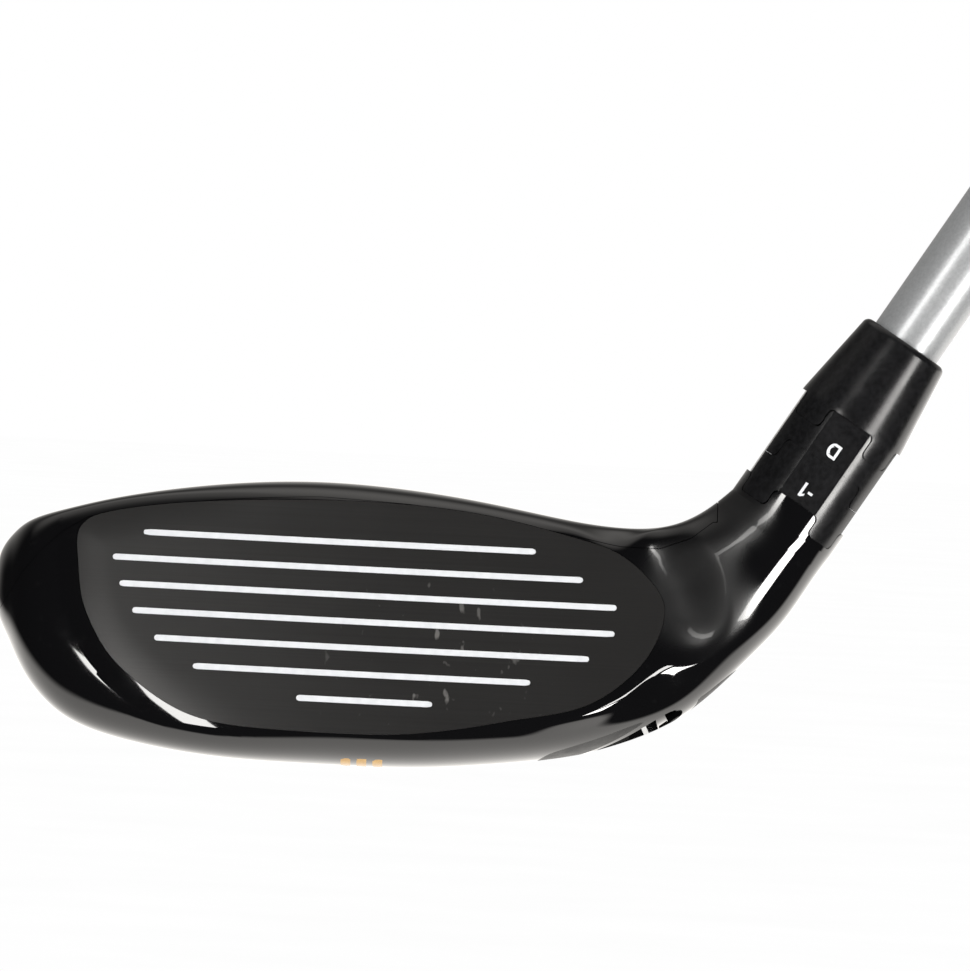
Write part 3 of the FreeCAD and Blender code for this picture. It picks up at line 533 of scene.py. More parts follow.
def in_scores(xz):
    """Positive inside the score lines."""
    result = np.full(len(xz), -9.0)
    for i, (x0, x1) in enumerate(SCORE_SPANS):
        along = np.clip(xz[:, 0], x0 + SCORE_HALF, x1 - SCORE_HALF)
        away = np.hypot(xz[:, 0] - along, xz[:, 1] - (SCORE_TOP - i * SCORE_STEP))
        result = np.maximum(result, SCORE_HALF - away)
    return result


score_rows = [SCORE_TOP - i * SCORE_STEP for i in range(len(SCORE_SPANS))]
face_rows = sorted(set(np.round(np.concatenate(
    [np.arange(4.0, 36.0, 0.6)] + [[z - 0.3, z - 0.1, z + 0.1, z + 0.3] for z in score_rows]), 3)))
face_columns = np.concatenate([np.arange(-40, -30, 0.4), np.arange(-30, 39.8, 0.8)])
face = grid(face_columns, face_rows, False)
face.polys = [poly[::-1] for poly in face.polys]
face, _ = face.split(lambda xz: inside_distance(xz, INSERT) - SEAM / 2)
lines, face = face.split(in_scores)
FACE_NORMALS = {"skin": face_normals}
face_insert = thick_mesh("face_insert", face, {"skin": face_points}, FACE_NORMALS, INSERT_WALL,
                         HEAD_FRAME)
score_lines = thick_mesh("score_lines", lines, {"skin": lambda xz: face_points(xz, PAINT_DROP)},
                         FACE_NORMALS, PAINT_WALL, HEAD_FRAME)
for piece, node in ((face_insert, "face_plate"), (score_lines, "score_paint"),
                    (head_shell, "head_body"), (crown_panel, "crown"),
                    (sole_insert, "sole_plate"), (heel_skin, "heel_panel")):
    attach(piece, "head")
    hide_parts(node)

# Round pieces
def ring_faces(segments, n):
    """Quads between neighbouring copies of a closed outline of n corners."""
    faces = []
    for k in range(segments):
        j = (k + 1) % segments
        for i in range(n):
            m = (i + 1) % n
            faces.append([k * n + i, j * n + i, j * n + m, k * n + m])
    return faces


def turned(name, profile, matrix, segments=128):
    """A piece turned about the z axis of its frame from a closed (radius, height) outline."""
    points = []
    for k in range(segments):
        a = 2 * math.pi * k / segments
        points += [(r * math.cos(a), r * math.sin(a), z) for r, z in profile]
    obj = mesh_object(name, points, ring_faces(segments, len(profile)), matrix)
    weld_and_crease(obj)
    return obj


def weld_and_crease(obj, angle=35.0):
    """Merges corners on the axis, points the faces outwards and keeps edges over an angle sharp."""
    work = bmesh.new()
    work.from_mesh(obj.data)
    bmesh.ops.remove_doubles(work, verts=work.verts, dist=1e-7)
    bmesh.ops.dissolve_degenerate(work, edges=work.edges, dist=1e-8)
    bmesh.ops.recalc_face_normals(work, faces=work.faces)
    for edge in work.edges:
        if len(edge.link_faces) == 2 and edge.calc_face_angle(0) > math.radians(angle):
            edge.smooth = False
    work.to_mesh(obj.data)
    work.free()


def rounded(profile, radius):
    """The closed outline with its corners rounded."""
    steps = 4
    result = []
    n = len(profile)
    for i, corner in enumerate(profile):
        p = np.array(corner, float)
        a, b = np.array(profile[i - 1], float) - p, np.array(profile[(i + 1) % n], float) - p
        la, lb = np.linalg.norm(a), np.linalg.norm(b)
        r = min(radius, la * 0.45, lb * 0.45)
        start, end = p + a / la * r, p + b / lb * r
        for k in range(steps + 1):
            t = k / steps
            result.append(tuple((1 - t) ** 2 * start + 2 * t * (1 - t) * p + t ** 2 * end))
    return result


def teeth_up(angle, z, land, tip, centres, half, corner=0.9, root=0.7):
    """Positive inside a ring whose upper edge is a land with teeth standing on it.

    angle, centres and half are in degrees, the rest is in millimetres."""
    arc = math.radians(1) * ADAPTER_R
    apart = np.min([np.abs(np.mod(angle - c + 180, 360) - 180) for c in centres], axis=0)
    side, top = (apart - half) * arc, z - tip
    a, b = side + corner, top + corner
    tooth = np.hypot(np.maximum(a, 0), np.maximum(b, 0)) + np.minimum(np.maximum(a, b), 0) - corner
    floor = z - land
    blend = np.maximum(root, np.minimum(floor, tooth))
    return np.hypot(np.maximum(root - floor, 0), np.maximum(root - tooth, 0)) - blend


FLAT_Y = 7.25
FLAT_EDGE = math.degrees(math.acos(FLAT_Y / ADAPTER_R))
FOUR = (0, 90, 180, 270)
BETWEEN = (45, 135, 225, 315)
FRONT_BACK = (90, 270)
SIDES = (0, 180)
TOOTH_ROW = 0.15


def from_flat(angle):
    """Degrees from the middle of the nearest flat."""
    return np.mod(angle + 45, 90) - 45


def ring_surfaces(radius_at):
    """Outer faces of a ring as functions of (angle, height): round, and flat where labels sit."""
    def point(uv, flat):
        angle = np.radians(uv[:, 0])
        radius = radius_at(uv[:, 1])
        if flat:
            radius = np.minimum(radius, FLAT_Y / np.cos(np.radians(from_flat(uv[:, 0]))))
        return np.stack([radius * np.cos(angle), radius * np.sin(angle), uv[:, 1]], axis=1)

    def normal_round(uv):
        angle, step = np.radians(uv[:, 0]), 1e-3
        slope = (radius_at(uv[:, 1] + step) - radius_at(uv[:, 1] - step)) / (2 * step)
        n = np.stack([np.cos(angle), np.sin(angle), -slope], axis=1)
        return n / np.linalg.norm(n, axis=1)[:, None]

    def normal_flat(uv):
        angle = np.radians(uv[:, 0] - from_flat(uv[:, 0]))
        return np.stack([np.cos(angle), np.sin(angle), angle * 0], axis=1)

    shapes = {"round": lambda uv: point(uv, False), "flat": lambda uv: point(uv, True)}
    return shapes, {"round": normal_round, "flat": normal_flat}


def ring_patch(heights, flats):
    """Grid of angles and heights; angles include the edges of the label flats."""
    angles = np.arange(0, 360, 1.25)
    if flats:
        edges = [c + side * FLAT_EDGE for c in FOUR for side in (-1, 1)]
        angles = np.unique(np.round(np.mod(np.concatenate([angles, edges]), 360), 6))
        for edge in edges:
            gap = np.abs(np.mod(angles - edge + 180, 360) - 180)
            angles = angles[(gap > 0.3) | (gap < 1e-5)]
    n = len(angles)
    uv = [(a, z) for z in heights for a in angles]
    # The last column of quads crosses 360 degrees, so its far corners are written past it.
    base = len(uv)
    uv += [(angles[0] + 360, z) for z in heights]
    polys, kinds = [], []
    for i in range(len(heights) - 1):
        for j in range(n):
            last = j == n - 1
            low, high = (base + i, base + i + 1) if last else (i * n + j + 1, (i + 1) * n + j + 1)
            polys.append([i * n + j, low, high, (i + 1) * n + j])
            middle = (angles[j] + uv[low][0]) / 2
            on_flat = flats and abs(from_flat(middle)) < FLAT_EDGE
            kinds.append("flat" if on_flat else "round")
    return Patch(uv, polys, kinds)


def castellated(name, heights, radius_at, inner_r, clips, flats, body, node=None):
    """A toothed ring: outer face clipped by teeth, thickened in to its bore."""
    patch = ring_patch(heights, flats)
    for clip in clips:
        patch, _ = patch.split(clip)
    shapes, normals = ring_surfaces(radius_at)
    obj = thick_mesh(name, patch, shapes, normals, ADAPTER_R - inner_r, AXIS_FRAME)
    close_seam(obj)
    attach(obj, body)
    if node:
        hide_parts(node)
    return obj


def close_seam(obj):
    """Welds the start and end of a ring."""
    work = bmesh.new()
    work.from_mesh(obj.data)
    bmesh.ops.remove_doubles(work, verts=work.verts, dist=2e-7)
    work.to_mesh(obj.data)
    work.free()


def straight(z):
    return np.full_like(z, ADAPTER_R)


TAB_HALF, TOOTH_HALF = 25.1, 18.6
WIDE_TAB_HALF, WIDE_TOOTH_HALF = 48.0, 41.2

HOSEL_BORE, RING_BORE, CONE_BORE = 6.7, 6.1, 6.6


def teeth_above(land, tip, centres, half):
    """Clip for an edge with teeth that point up the shaft."""
    return lambda uv: teeth_up(uv[:, 0], uv[:, 1], land, tip, centres, half)


def teeth_below(land, tip, centres, half):
    """Clip for an edge with teeth that point down the shaft."""
    return lambda uv: teeth_up(uv[:, 0], -uv[:, 1], -land, -tip, centres, half)


# Land and tip heights of the meshing edges, with 0.03 mm between the pieces.
hosel_rim = castellated(
    "hosel_rim", np.arange(40.9, 44.55, TOOTH_ROW), straight, HOSEL_BORE,
    [teeth_above(41.6, 44.3, FOUR, TAB_HALF)], False, "head")
lower_ring = castellated(
    "lower_ring", np.arange(41.6, 50.9, TOOTH_ROW), straight, RING_BORE,
    [teeth_above(47.7, 50.7, FRONT_BACK, WIDE_TAB_HALF),
     teeth_below(44.33, 41.63, BETWEEN, TOOTH_HALF)], True, "lower_cog", "lower_cog")
upper_ring = castellated(
    "upper_ring", np.arange(47.7, 57.4, TOOTH_ROW), straight, RING_BORE,
    [teeth_above(54.1, 57.2, FOUR, TAB_HALF),
     teeth_below(50.73, 47.73, SIDES, WIDE_TOOTH_HALF)], True, "upper_cog", "upper_cog")

SLEEVE_TOP, SLEEVE_TOP_R, CONE_FOOT, LIP = 69.9, 6.2, 57.3, 0.8


def sleeve_radius(z):
    """Sleeve outside: straight by the teeth, a softened bend, a cone and a rounded lip."""
    slope = (ADAPTER_R - SLEEVE_TOP_R) / (SLEEVE_TOP - CONE_FOOT)
    soft = 0.6
    over = z - CONE_FOOT
    bend = np.where(over < -soft, 0, np.where(over > soft, over, (over + soft) ** 2 / (4 * soft)))
    radius = ADAPTER_R - slope * bend
    into = np.clip((z - (SLEEVE_TOP - LIP)) / LIP, 0, 1)
    return radius - LIP * (1 - np.sqrt(1 - into ** 2 * 0.9999))


sleeve_heights = np.concatenate([np.arange(54.1, 58.6, TOOTH_ROW), np.linspace(58.8, 69.0, 30),
                                 SLEEVE_TOP - LIP + LIP * np.sin(np.linspace(0, math.pi / 2, 12))])
sleeve_cone = castellated(
    "sleeve_cone", sleeve_heights, sleeve_radius, CONE_BORE,
    [teeth_below(57.23, 54.13, BETWEEN, TOOTH_HALF)], False, "club", "sleeve")
TUBE_R, SHAFT_BORE = 6.0, 4.9
sleeve_tube = turned("sleeve_tube", rounded([
    (2.1, 20.2), (4.3, 20.2), (4.3, 27.1), (TUBE_R, 27.1), (TUBE_R, 33.0), (5.6, 33.0),
    (5.6, 34.2), (TUBE_R, 34.2), (TUBE_R, 57.6), (6.9, 57.9), (6.6, 60.0), (5.4, 69.0),
    (5.42, 69.9), (SHAFT_BORE, 69.9), (SHAFT_BORE, 30.9), (2.1, 30.9)], 0.25), AXIS_FRAME)
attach(sleeve_tube, "club")

SHAFT_TIP_R, SHAFT_BUTT_R, SHAFT_WALL = 4.835, 7.6, 1.0
SHAFT_TIP, TAPER, PARALLEL, SHAFT_END = 31.0, 110.0, 735.0, 1012.9
shaft_piece = turned("shaft_tube", [
    (SHAFT_TIP_R, SHAFT_TIP), (SHAFT_TIP_R, 70.0), (SHAFT_TIP_R, TAPER), (SHAFT_BUTT_R, PARALLEL),
    (SHAFT_BUTT_R, SHAFT_END), (SHAFT_BUTT_R - SHAFT_WALL, SHAFT_END),
    (SHAFT_BUTT_R - SHAFT_WALL, PARALLEL), (SHAFT_TIP_R - SHAFT_WALL, TAPER),
    (SHAFT_TIP_R - SHAFT_WALL, SHAFT_TIP)], AXIS_FRAME, segments=160)
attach(shaft_piece, "club")
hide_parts("shaft")

skin_tree = BVHTree.FromPolygons([Vector(p) for p in whole_points], whole_polys)


def mouth_height(matrix, radius, angle):
    """Height in another frame where a line along its z axis, coming from below, meets the head."""
    below = 60.0
    origin = matrix @ Vector((radius * math.cos(angle), radius * math.sin(angle), -below))
    ray = (matrix.to_3x3() @ Vector((0, 0, 1))).normalized()
    _, _, _, distance = skin_tree.ray_cast(origin, ray)
    return distance - below


def well(name, matrix, steps, wall, segments=128):
    """A lined hole up from the sole: its mouth follows the skin, then (radius, height) steps."""
    points = []
    mouth_r = steps[0][0]
    for k in range(segments):
        a = 2 * math.pi * k / segments
        inner, outer = mouth_height(matrix, mouth_r, a), mouth_height(matrix, mouth_r + wall, a)
        ring = [(mouth_r, inner + 0.02)] + steps + [(r + wall, z + 0.8) for r, z in steps[::-1]]
        ring.append((mouth_r + wall, outer + 0.3))
        points += [(r * math.cos(a), r * math.sin(a), z) for r, z in ring]
    obj = mesh_object(name, points, ring_faces(segments, len(ring)), HEAD_FRAME @ matrix)
    weld_and_crease(obj)
    return obj


# Inside of the hosel, from its rim to the web that the bolt bears on, and the two ports.
WEB_FOOT, BOLT_HOLE = 17.5, 2.3
hosel_bore = turned("hosel_bore", [
    (HOSEL_BORE, 41.2), (HOSEL_BORE, 30.0), (6.1, 30.0), (6.1, 26.9), (4.4, 26.9), (4.4, 19.7),
    (BOLT_HOLE, 19.7), (BOLT_HOLE, WEB_FOOT), (3.9, WEB_FOOT), (3.9, 19.2), (4.65, 19.6),
    (4.65, 26.6), (6.15, 26.8), (6.25, 29.8), (7.1, 30.6), (7.25, 33.0), (7.25, 41.2)], AXIS_FRAME)
wrench_pocket = well("wrench_pocket", AXIS_IN_HEAD, [(POCKET_R, WEB_FOOT), (BOLT_HOLE, WEB_FOOT)],
                     0.5)
weight_port = well("weight_port", PORT_FRAME, [(PORT_R, 4.6), (2.6, 4.6), (2.6, 9.0)], 0.8)
for piece in (hosel_bore, wrench_pocket, weight_port, hosel_rim):
    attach(piece, "head")

# Grip
GRIP_MOUTH, GRIP_WAIST, GRIP_CAP = 743.0, 850.0, 1013.0
GRIP_MOUTH_R, GRIP_WAIST_R, GRIP_CAP_R, GRIP_BORE_R = 9.0, 10.2, 13.2, 7.9
GROOVE_DEPTH, GROOVE_PITCH, GROOVE_SHARP = 0.28, 0.62, 0.6
COLLAR_DEPTH, COLLAR_AT, COLLAR_WIDTH = 0.35, 8, 0.7
EDGE_DEPTH, EDGE_WIDTH = 0.45, 0.35
PLAIN_MOUTH, PLAIN_BOTH, PLAIN_FADE = 16, 40, 40


def grip_radius(z):
    return np.interp(z, [GRIP_MOUTH, GRIP_MOUTH + 7, GRIP_WAIST, GRIP_CAP - 6, GRIP_CAP],
                     [GRIP_MOUTH_R, GRIP_MOUTH_R, GRIP_WAIST_R, GRIP_CAP_R, GRIP_CAP_R])


def grip_shape():
    """The grip's sleeve with a moulded pattern of slanting grooves between plain bands."""
    segments = 160
    zs = np.concatenate([[GRIP_MOUTH], np.linspace(GRIP_MOUTH + 0.5, GRIP_CAP - 0.3, 620),
                         [GRIP_CAP]])
    points, faces = [], []
    angles = np.linspace(0, 2 * math.pi, segments, endpoint=False)
    for z in zs:
        radius = float(grip_radius(z))
        edge = min(z - GRIP_MOUTH, GRIP_CAP - z)
        radius -= EDGE_DEPTH * math.exp(-edge / EDGE_WIDTH)
        band = (z - GRIP_MOUTH - PLAIN_MOUTH) / (GRIP_CAP - GRIP_MOUTH - PLAIN_BOTH)
        pattern = min(max(min(band, 1 - band) * PLAIN_FADE, 0), 1)
        turn = angles * radius
        one = np.abs(np.sin((turn + z) * GROOVE_PITCH)) ** GROOVE_SHARP
        two = np.abs(np.sin((turn - z) * GROOVE_PITCH)) ** GROOVE_SHARP
        depth = GROOVE_DEPTH * pattern * (1 - np.minimum(one, two)) ** 3
        collar = COLLAR_DEPTH * math.exp(-((z - GRIP_MOUTH - COLLAR_AT) / COLLAR_WIDTH) ** 2)
        r = radius - depth - collar
        points += [(a * math.cos(t), a * math.sin(t), z) for a, t in zip(r, angles)]
    for z in (GRIP_CAP, GRIP_MOUTH):
        points += [(GRIP_BORE_R * math.cos(t), GRIP_BORE_R * math.sin(t), z) for t in angles]
    rows = len(zs) + 2
    for a in range(rows):
        b = (a + 1) % rows
        for j in range(segments):
            k = (j + 1) % segments
            faces.append([a * segments + j, a * segments + k, b * segments + k, b * segments + j])
    obj = mesh_object("grip_sleeve", points, faces, AXIS_FRAME)
    weld_and_crease(obj, 60)
    return obj


grip_piece = grip_shape()
grip_end = turned("grip_end", rounded([
    (1.0, GRIP_CAP), (GRIP_CAP_R, GRIP_CAP), (GRIP_CAP_R, 1014.6), (12.4, 1015.6),
    (11.2, CLUB_LENGTH), (3.2, CLUB_LENGTH), (2.2, 1015.5), (1.0, 1015.5)], 0.3), AXIS_FRAME)
for piece, node in ((grip_piece, "grip"), (grip_end, "grip_cap")):
    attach(piece, "club")
    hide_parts(node)


# Materials
class Nodes:
    """Small helper that adds and links shader nodes."""

    def __init__(self, name):
        self.material = bpy.data.materials.new(name)
        self.material.use_nodes = True
        self.tree = self.material.node_tree
        self.shader = self.tree.nodes["Principled BSDF"]

    def add(self, kind, **settings):
        node = self.tree.nodes.new(kind)
        for key, value in settings.items():
            if key in node.inputs:
                node.inputs[key].default_value = value
            else:
                setattr(node, key, value)
        return node

    def link(self, source, socket):
        self.tree.links.new(source, socket)

    def set(self, **values):
        for key, value in values.items():
            self.shader.inputs[key.replace("_", " ")].default_value = value

    def place(self, scale=(1, 1, 1), rotation=(0, 0, 0)):
        coordinates = self.add("ShaderNodeTexCoord")
        mapping = self.add("ShaderNodeMapping")
        mapping.inputs["Scale"].default_value = scale
        mapping.inputs["Rotation"].default_value = rotation
        self.link(coordinates.outputs["Object"], mapping.inputs["Vector"])
        return mapping.outputs["Vector"]

    def noise(self, vector, scale, detail=3.0, roughness=0.5):
        node = self.add("ShaderNodeTexNoise", Scale=scale, Detail=detail, Roughness=roughness)
        self.link(vector, node.inputs["Vector"])
        return node.outputs["Fac"]

    def ramp(self, factor, low, high, out_low=0.0, out_high=1.0):
        node = self.add("ShaderNodeMapRange")
        node.inputs["From Min"].default_value = low
        node.inputs["From Max"].default_value = high
        node.inputs["To Min"].default_value = out_low
        node.inputs["To Max"].default_value = out_high
        self.link(factor, node.inputs["Value"])
        return node.outputs["Result"]

    def blend(self, factor, first, second):
        node = self.add("ShaderNodeMix", data_type="RGBA")
        self.link(factor, node.inputs["Factor"])
        node.inputs["A"].default_value = (*first, 1)
        node.inputs["B"].default_value = (*second, 1)
        return node.outputs["Result"]

    def math(self, operation, first, second):
        node = self.add("ShaderNodeMath", operation=operation)
        self.link(first, node.inputs[0])
        self.link(second, node.inputs[1])
        return node.outputs[0]

    def away_from(self, point):
        """Distance from a point of the row frame."""
        node = self.add("ShaderNodeVectorMath", operation="DISTANCE")
        self.link(self.place(), node.inputs[0])
        node.inputs[1].default_value = point
        return node.outputs["Value"]

    def bump(self, height, strength, distance):
        node = self.add("ShaderNodeBump")
        node.inputs["Strength"].default_value = strength
        node.inputs["Distance"].default_value = distance
        self.link(height, node.inputs["Height"])
        self.link(node.outputs["Normal"], self.shader.inputs["Normal"])


def in_head_row(x, z):
    """A point of the face plate, in the row frame, as plain numbers."""
    return tuple(HEAD_FRAME @ Vector((x, LOFT * z, z)))


# Two spots where the face blends into the neck, with the reach of their softer polish.
SOFT_PLACES = [((42.2, 25.6), 0.0045, 0.0098), ((49.0, 35.2), 0.0022, 0.0074)]
SOFT_ROUGHNESS, COAT_WEIGHT = 0.6, 0.6


def gloss_black():
    """Polished black with fine dust, less polished where the face blends into the neck."""
    n = Nodes("gloss_black")
    where = n.place()
    dust = n.noise(where, 900, 4)
    colour = n.blend(n.ramp(dust, 0.62, 0.8), (0.0035, 0.0035, 0.004), (0.006, 0.006, 0.0065))
    n.link(colour, n.shader.inputs["Base Color"])
    polish = n.ramp(n.noise(where, 260, 5), 0.3, 0.75, 0.03, 0.07)
    shine = n.math("MULTIPLY", *(n.ramp(n.away_from(in_head_row(*spot)), inner, outer)
                                 for spot, inner, outer in SOFT_PLACES))
    soft = n.ramp(shine, 0.0, 1.0, SOFT_ROUGHNESS, 0.0)
    n.link(n.math("ADD", polish, soft), n.shader.inputs["Roughness"])
    n.link(n.ramp(shine, 0.0, 1.0, 0.0, COAT_WEIGHT), n.shader.inputs["Coat Weight"])
    n.set(IOR=1.5, Coat_Roughness=0.02)
    return n.material


def matte_bore():
    """As-cast inside of the hosel and of the two screw ports."""
    n = Nodes("matte_bore")
    grain = n.noise(n.place(), 1500, 4)
    colour = n.blend(n.ramp(grain, 0.3, 0.7), (0.006, 0.006, 0.006), (0.012, 0.012, 0.011))
    n.link(colour, n.shader.inputs["Base Color"])
    n.link(n.ramp(grain, 0.3, 0.7, 0.6, 0.8), n.shader.inputs["Roughness"])
    n.bump(grain, 0.25, 0.00005)
    n.set(Specular_IOR_Level=0.2)
    return n.material


SCUFF_PLACE = in_head_row(9.0, 14.0)
SCUFF_REACH = 0.017


def brushed_face():
    """Fine brush lines along the face, and a few light scuffs low on its middle."""
    n = Nodes("brushed_face")
    lines = n.noise(n.place((5, 5, 1400)), 3, 6, 0.65)
    cloud = n.noise(n.place(), 60, 3)
    reach = n.ramp(n.away_from(SCUFF_PLACE), SCUFF_REACH * 0.35, SCUFF_REACH, 1.0, 0.0)
    specks = n.ramp(n.noise(n.place((1.0, 1.0, 0.55), (0, 0.5, 0)), 760, 2, 0.4), 0.685, 0.76)
    scuff = n.math("MULTIPLY", reach, specks)
    base = n.blend(n.ramp(lines, 0.3, 0.7), (0.019, 0.0184, 0.0182), (0.024, 0.0233, 0.023))
    scuffed = n.add("ShaderNodeMix", data_type="RGBA")
    n.link(scuff, scuffed.inputs["Factor"])
    n.link(base, scuffed.inputs["A"])
    scuffed.inputs["B"].default_value = (0.16, 0.155, 0.15, 1)
    n.link(scuffed.outputs["Result"], n.shader.inputs["Base Color"])
    n.link(n.ramp(cloud, 0.3, 0.7, 0.33, 0.40), n.shader.inputs["Roughness"])
    n.bump(lines, 0.10, 0.00004)
    n.set(Metallic=0.25)
    return n.material


def simple(name, colour, second, roughness, metallic, scale, grain, depth=0.00003):
    """A finish with a fine grain: two close colours, uneven roughness and a small bump."""
    n = Nodes(name)
    where = n.place()
    speck = n.noise(where, scale, 5)
    n.link(n.blend(n.ramp(speck, 0.35, 0.65), colour, second), n.shader.inputs["Base Color"])
    n.link(n.ramp(n.noise(where, scale / 4, 3), 0.3, 0.7, roughness * 0.85, roughness * 1.15),
           n.shader.inputs["Roughness"])
    n.bump(speck, grain, depth)
    n.set(Metallic=metallic)
    return n.material


def shaft_metal():
    """Satin plated steel."""
    n = Nodes("shaft_satin")
    where = n.place()
    speck = n.noise(where, 2600, 6, 0.6)
    n.link(n.blend(n.ramp(speck, 0.35, 0.65), (0.40, 0.41, 0.42), (0.47, 0.48, 0.49)),
           n.shader.inputs["Base Color"])
    n.link(n.ramp(speck, 0.3, 0.7, 0.28, 0.38), n.shader.inputs["Roughness"])
    n.bump(speck, 0.15, 0.00002)
    n.set(Metallic=0.35)
    return n.material


black_gloss = gloss_black()
bore_black = matte_bore()
face_metal = brushed_face()
anodised = simple("anodised_black", (0.006, 0.006, 0.0065), (0.011, 0.011, 0.012), 0.22, 0.0,
                  1500, 0.12)
satin_dark = simple("satin_dark", (0.05, 0.048, 0.046), (0.07, 0.067, 0.064), 0.3, 0.9, 700, 0.1)
matt_dark = simple("matt_dark", (0.012, 0.012, 0.012), (0.022, 0.022, 0.022), 0.5, 0.0, 1800,
                   0.35, 0.00006)
white_paint = simple("white_paint", (0.72, 0.74, 0.77), (0.79, 0.81, 0.84), 0.45, 0.0, 900, 0.1)
gold = simple("gold_plate", (0.42, 0.25, 0.08), (0.5, 0.31, 0.1), 0.25, 1.0, 900, 0.08)
steel = simple("plain_steel", (0.32, 0.32, 0.33), (0.42, 0.42, 0.43), 0.3, 1.0, 900, 0.15)
dark_steel = simple("dark_steel", (0.012, 0.012, 0.0125), (0.022, 0.022, 0.023), 0.38, 0.3,
                    900, 0.15)
rubber = simple("grip_rubber", (0.016, 0.016, 0.017), (0.03, 0.03, 0.031), 0.7, 0.0, 1200, 0.5,
                0.00008)
paper = simple("tape_paper", (0.6, 0.57, 0.48), (0.7, 0.67, 0.58), 0.8, 0.0, 500, 0.2)
silver_shaft = shaft_metal()

# Material, slot of the part's record, pieces.
LOOKS = [
    (black_gloss, "body_black", [head_shell, hosel_rim]),
    (bore_black, "body_black", [hosel_bore, wrench_pocket, weight_port]),
    (black_gloss, "crown_black", [crown_panel]),
    (face_metal, "face_steel", [face_insert]),
    (white_paint, "white_paint", [score_lines]),
    (satin_dark, "sole_satin", [sole_insert]),
    (matt_dark, "heel_matt", [heel_skin]),
    (anodised, "cog_black", [lower_ring, upper_ring]),
    (anodised, "adapter_black", [sleeve_cone, sleeve_tube]),
    (silver_shaft, "shaft_steel", [shaft_piece]),
    (rubber, "grip_rubber", [grip_piece, grip_end]),
]
for material, slot_name, pieces in LOOKS:
    for piece in pieces:
        piece.data.materials.clear()
        piece.data.materials.append(material)
# Nodes that keep their CAD shape.
NODE_LOOKS = {
    "sole_marks": gold, "upper_mark": white_paint, "lower_mark": white_paint,
    "bolt": dark_steel, "bolt_washer": dark_steel, "cog_clip": steel, "toe_weight": steel,
    "brace": steel, "weight_screw": steel, "weight_ring": rubber, "grip_tape": paper}
ROUND_NODES = ("bolt", "weight_screw", "bolt_washer", "cog_clip", "weight_ring")
for node, material in NODE_LOOKS.items():
    data = nodes[node].data
    data.materials.clear()
    data.materials.append(material)
for node in ROUND_NODES:
    data = nodes[node].data
    data.polygons.foreach_set("use_smooth", [True] * len(data.polygons))
    data.set_sharp_from_angle(angle=math.radians(25))

# Camera, light, floor
def in_row(x, y, z):
    """A point of the ground frame, in the row frame."""
    return HEAD_FRAME @ Vector((x, y, z))


ROLL = math.radians(2.9)
CAMERA_RISE = math.radians(1.0)
CAMERA_BACK = 1500.0
VIEW_WIDTH = 127.6
SENSOR = 36.0
target = Vector((14.55, 6.0, 37.96))
forward = Vector((0, math.cos(CAMERA_RISE), -math.sin(CAMERA_RISE)))
level_up = Vector((0, math.sin(CAMERA_RISE), math.cos(CAMERA_RISE)))
right = Vector((1, 0, 0)) * math.cos(ROLL) + level_up * math.sin(ROLL)
up = level_up * math.cos(ROLL) - Vector((1, 0, 0)) * math.sin(ROLL)
camera_data = bpy.data.cameras.new("camera")
camera = bpy.data.objects.new("camera", camera_data)
bpy.context.scene.collection.objects.link(camera)
camera_data.sensor_width = SENSOR
camera_data.lens = SENSOR * CAMERA_BACK / VIEW_WIDTH
camera_data.clip_start, camera_data.clip_end = 0.05, 50.0
place = in_row(*(target - forward * CAMERA_BACK))
turn = Matrix((right, up, -forward)).transposed().to_4x4()
camera.matrix_world = Matrix.Translation(place) @ turn
bpy.context.scene.camera = camera
bpy.context.scene.view_settings.view_transform = "Standard"
bpy.context.scene.view_settings.look = "None"


MIDDLE = Vector((10, 5, 25))
LIGHT_AWAY = 1200.0
WARM = (1.0, 0.985, 0.96)


def toward(azimuth, elevation):
    """Where a light stands in the ground frame; azimuth 0 is the camera's, positive to the heel."""
    a, e = math.radians(azimuth), math.radians(elevation)
    line = Vector((math.sin(a) * math.cos(e), -math.cos(a) * math.cos(e), math.sin(e)))
    return MIDDLE + line * LIGHT_AWAY


def across(degrees):
    """Size of a card that covers an angle as the head sees it."""
    return 2 * LIGHT_AWAY * math.tan(math.radians(degrees / 2))


def angular_card(name, azimuth, elevation, width_deg, height_deg, radiance, colour=(1, 1, 1)):
    """A soft rectangular light that faces the head and covers these angles of its view."""
    width, height = across(width_deg), across(height_deg)
    data = bpy.data.lights.new(name, "AREA")
    data.shape = "RECTANGLE"
    data.size, data.size_y = width * MM, height * MM
    data.energy = radiance * math.pi * width * height * MM * MM
    data.color = colour
    obj = bpy.data.objects.new(name, data)
    bpy.context.scene.collection.objects.link(obj)
    here, there = in_row(*toward(azimuth, elevation)), in_row(*MIDDLE)
    turn = (here - there).to_track_quat("Z", "Y").to_matrix().to_4x4()
    obj.matrix_world = Matrix.Translation(here) @ turn
    obj.visible_camera = False
    return obj


angular_card("toe_strip", -24, 4, 9, 44, 14, WARM)
angular_card("heel_strip", 46, -29, 14, 18, 26, WARM)
angular_card("heel_glow", 45, -9, 18, 10, 14, WARM)
fill = angular_card("front_fill", -10, 35, 60, 50, 1.3)
fill.visible_glossy = False

world = bpy.data.worlds.new("studio")
bpy.context.scene.world = world
world.use_nodes = True
tree = world.node_tree
tree.nodes.clear()


def background(colour):
    node = tree.nodes.new("ShaderNodeBackground")
    node.inputs["Color"].default_value = (*colour, 1)
    return node


def world_ramp(source, low, high, out_low=0.0, out_high=1.0):
    node = tree.nodes.new("ShaderNodeMapRange")
    node.interpolation_type = "SMOOTHSTEP"
    for key, value in (("From Min", low), ("From Max", high),
                       ("To Min", out_low), ("To Max", out_high)):
        node.inputs[key].default_value = value
    tree.links.new(source, node.inputs["Value"])
    return node.outputs["Result"]


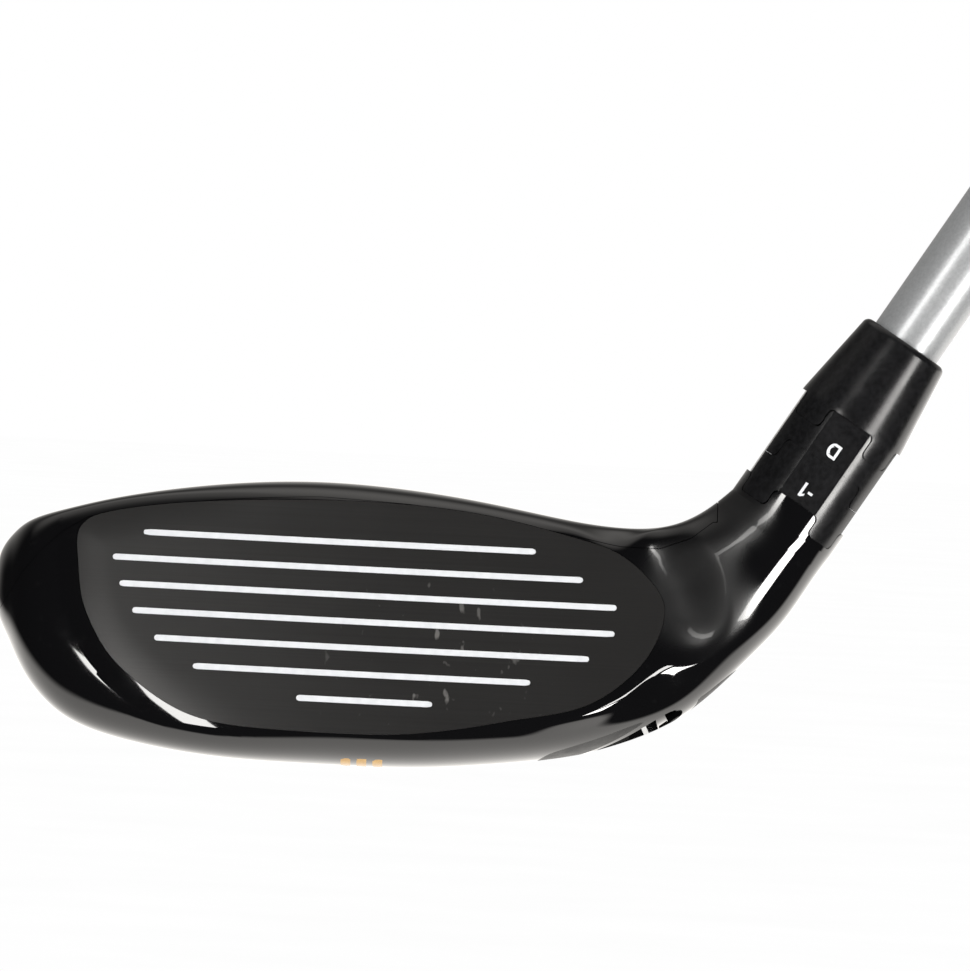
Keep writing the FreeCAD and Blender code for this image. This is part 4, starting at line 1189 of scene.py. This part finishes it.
def world_product(first, second):
    node = tree.nodes.new("ShaderNodeMath")
    node.operation = "MULTIPLY"
    tree.links.new(first, node.inputs[0])
    tree.links.new(second, node.inputs[1])
    return node.outputs[0]


def world_sum(terms, constant=0.0):
    """Weighted sum of sockets."""
    total = None
    for source, weight in terms:
        node = tree.nodes.new("ShaderNodeMath")
        node.operation = "MULTIPLY_ADD"
        tree.links.new(source, node.inputs[0])
        node.inputs[1].default_value = weight
        if total is None:
            node.inputs[2].default_value = constant
        else:
            tree.links.new(total, node.inputs[2])
        total = node.outputs[0]
    return total


where = tree.nodes.new("ShaderNodeTexCoord")
parts = tree.nodes.new("ShaderNodeSeparateXYZ")
tree.links.new(where.outputs["Generated"], parts.inputs[0])
aside, back, high = parts.outputs["X"], parts.outputs["Y"], parts.outputs["Z"]
to_toe, to_heel = world_ramp(aside, 0.0, -1.0), world_ramp(aside, 0.0, 1.0)
# Strengths of the light that pieces feel: a pale floor that is dark in front of the head
# and on its heel side, a pale wall behind it and a dim ceiling.
floor_side = world_sum([(back, 1.0), (high, -0.55), (to_toe, 0.42), (to_heel, -0.65)])
floor_depth = world_ramp(world_sum([(high, 1.0), (back, -0.35)]), -0.2, -0.45, 0.0, 1.5)
floor_light = world_product(world_ramp(floor_side, -0.05, 0.12), floor_depth)
wall_height = world_product(world_ramp(high, -0.4, 0.1), world_ramp(high, 0.1, 0.55, 1.0, 0.2))
wall_light = world_product(world_ramp(back, 0.25, 0.8, 0.0, 0.4), wall_height)
room_light = world_product(world_ramp(high, 0.55, 0.85, 0.0, 0.5), world_ramp(back, -0.6, 0.1))
glow = world_sum([(floor_light, 1.0), (wall_light, 1.0), (room_light, 1.0)], 0.012)
path = tree.nodes.new("ShaderNodeLightPath")
seen, felt = background((1, 1, 1)), background((1.0, 0.97, 0.93))
tree.links.new(glow, felt.inputs["Strength"])
mix, output = tree.nodes.new("ShaderNodeMixShader"), tree.nodes.new("ShaderNodeOutputWorld")
tree.links.new(path.outputs["Is Camera Ray"], mix.inputs["Fac"])
tree.links.new(felt.outputs[0], mix.inputs[1])
tree.links.new(seen.outputs[0], mix.inputs[2])
tree.links.new(mix.outputs[0], output.inputs["Surface"])


def floor_piece():
    """A pale floor, a flat grid just under the sole."""
    half, count, lowered = 3.0, 60, 0.0045
    base = in_row(0, 0, 0).z - lowered
    steps = [-half + 2 * half * i / count for i in range(count + 1)]
    points, faces = [(x, y, base) for x in steps for y in steps], []
    for i in range(count):
        for j in range(count):
            k = i * (count + 1) + j
            faces.append([k, k + count + 1, k + count + 2, k + 1])
    mesh = bpy.data.meshes.new("floor")
    mesh.from_pydata(points, [], faces)
    obj = bpy.data.objects.new("floor", mesh)
    bpy.context.scene.collection.objects.link(obj)
    n = Nodes("pale_floor")
    speck = n.noise(n.place(), 40, 3)
    colour = n.blend(n.ramp(speck, 0.3, 0.7), (0.985, 0.985, 0.985), (1.0, 1.0, 1.0))
    n.link(colour, n.shader.inputs["Emission Color"])
    n.set(Emission_Strength=1.0, Base_Color=(0, 0, 0, 1), Specular_IOR_Level=0.0)
    mesh.materials.append(n.material)
    obj.visible_glossy = obj.visible_diffuse = obj.visible_shadow = False
    return obj


floor_piece()
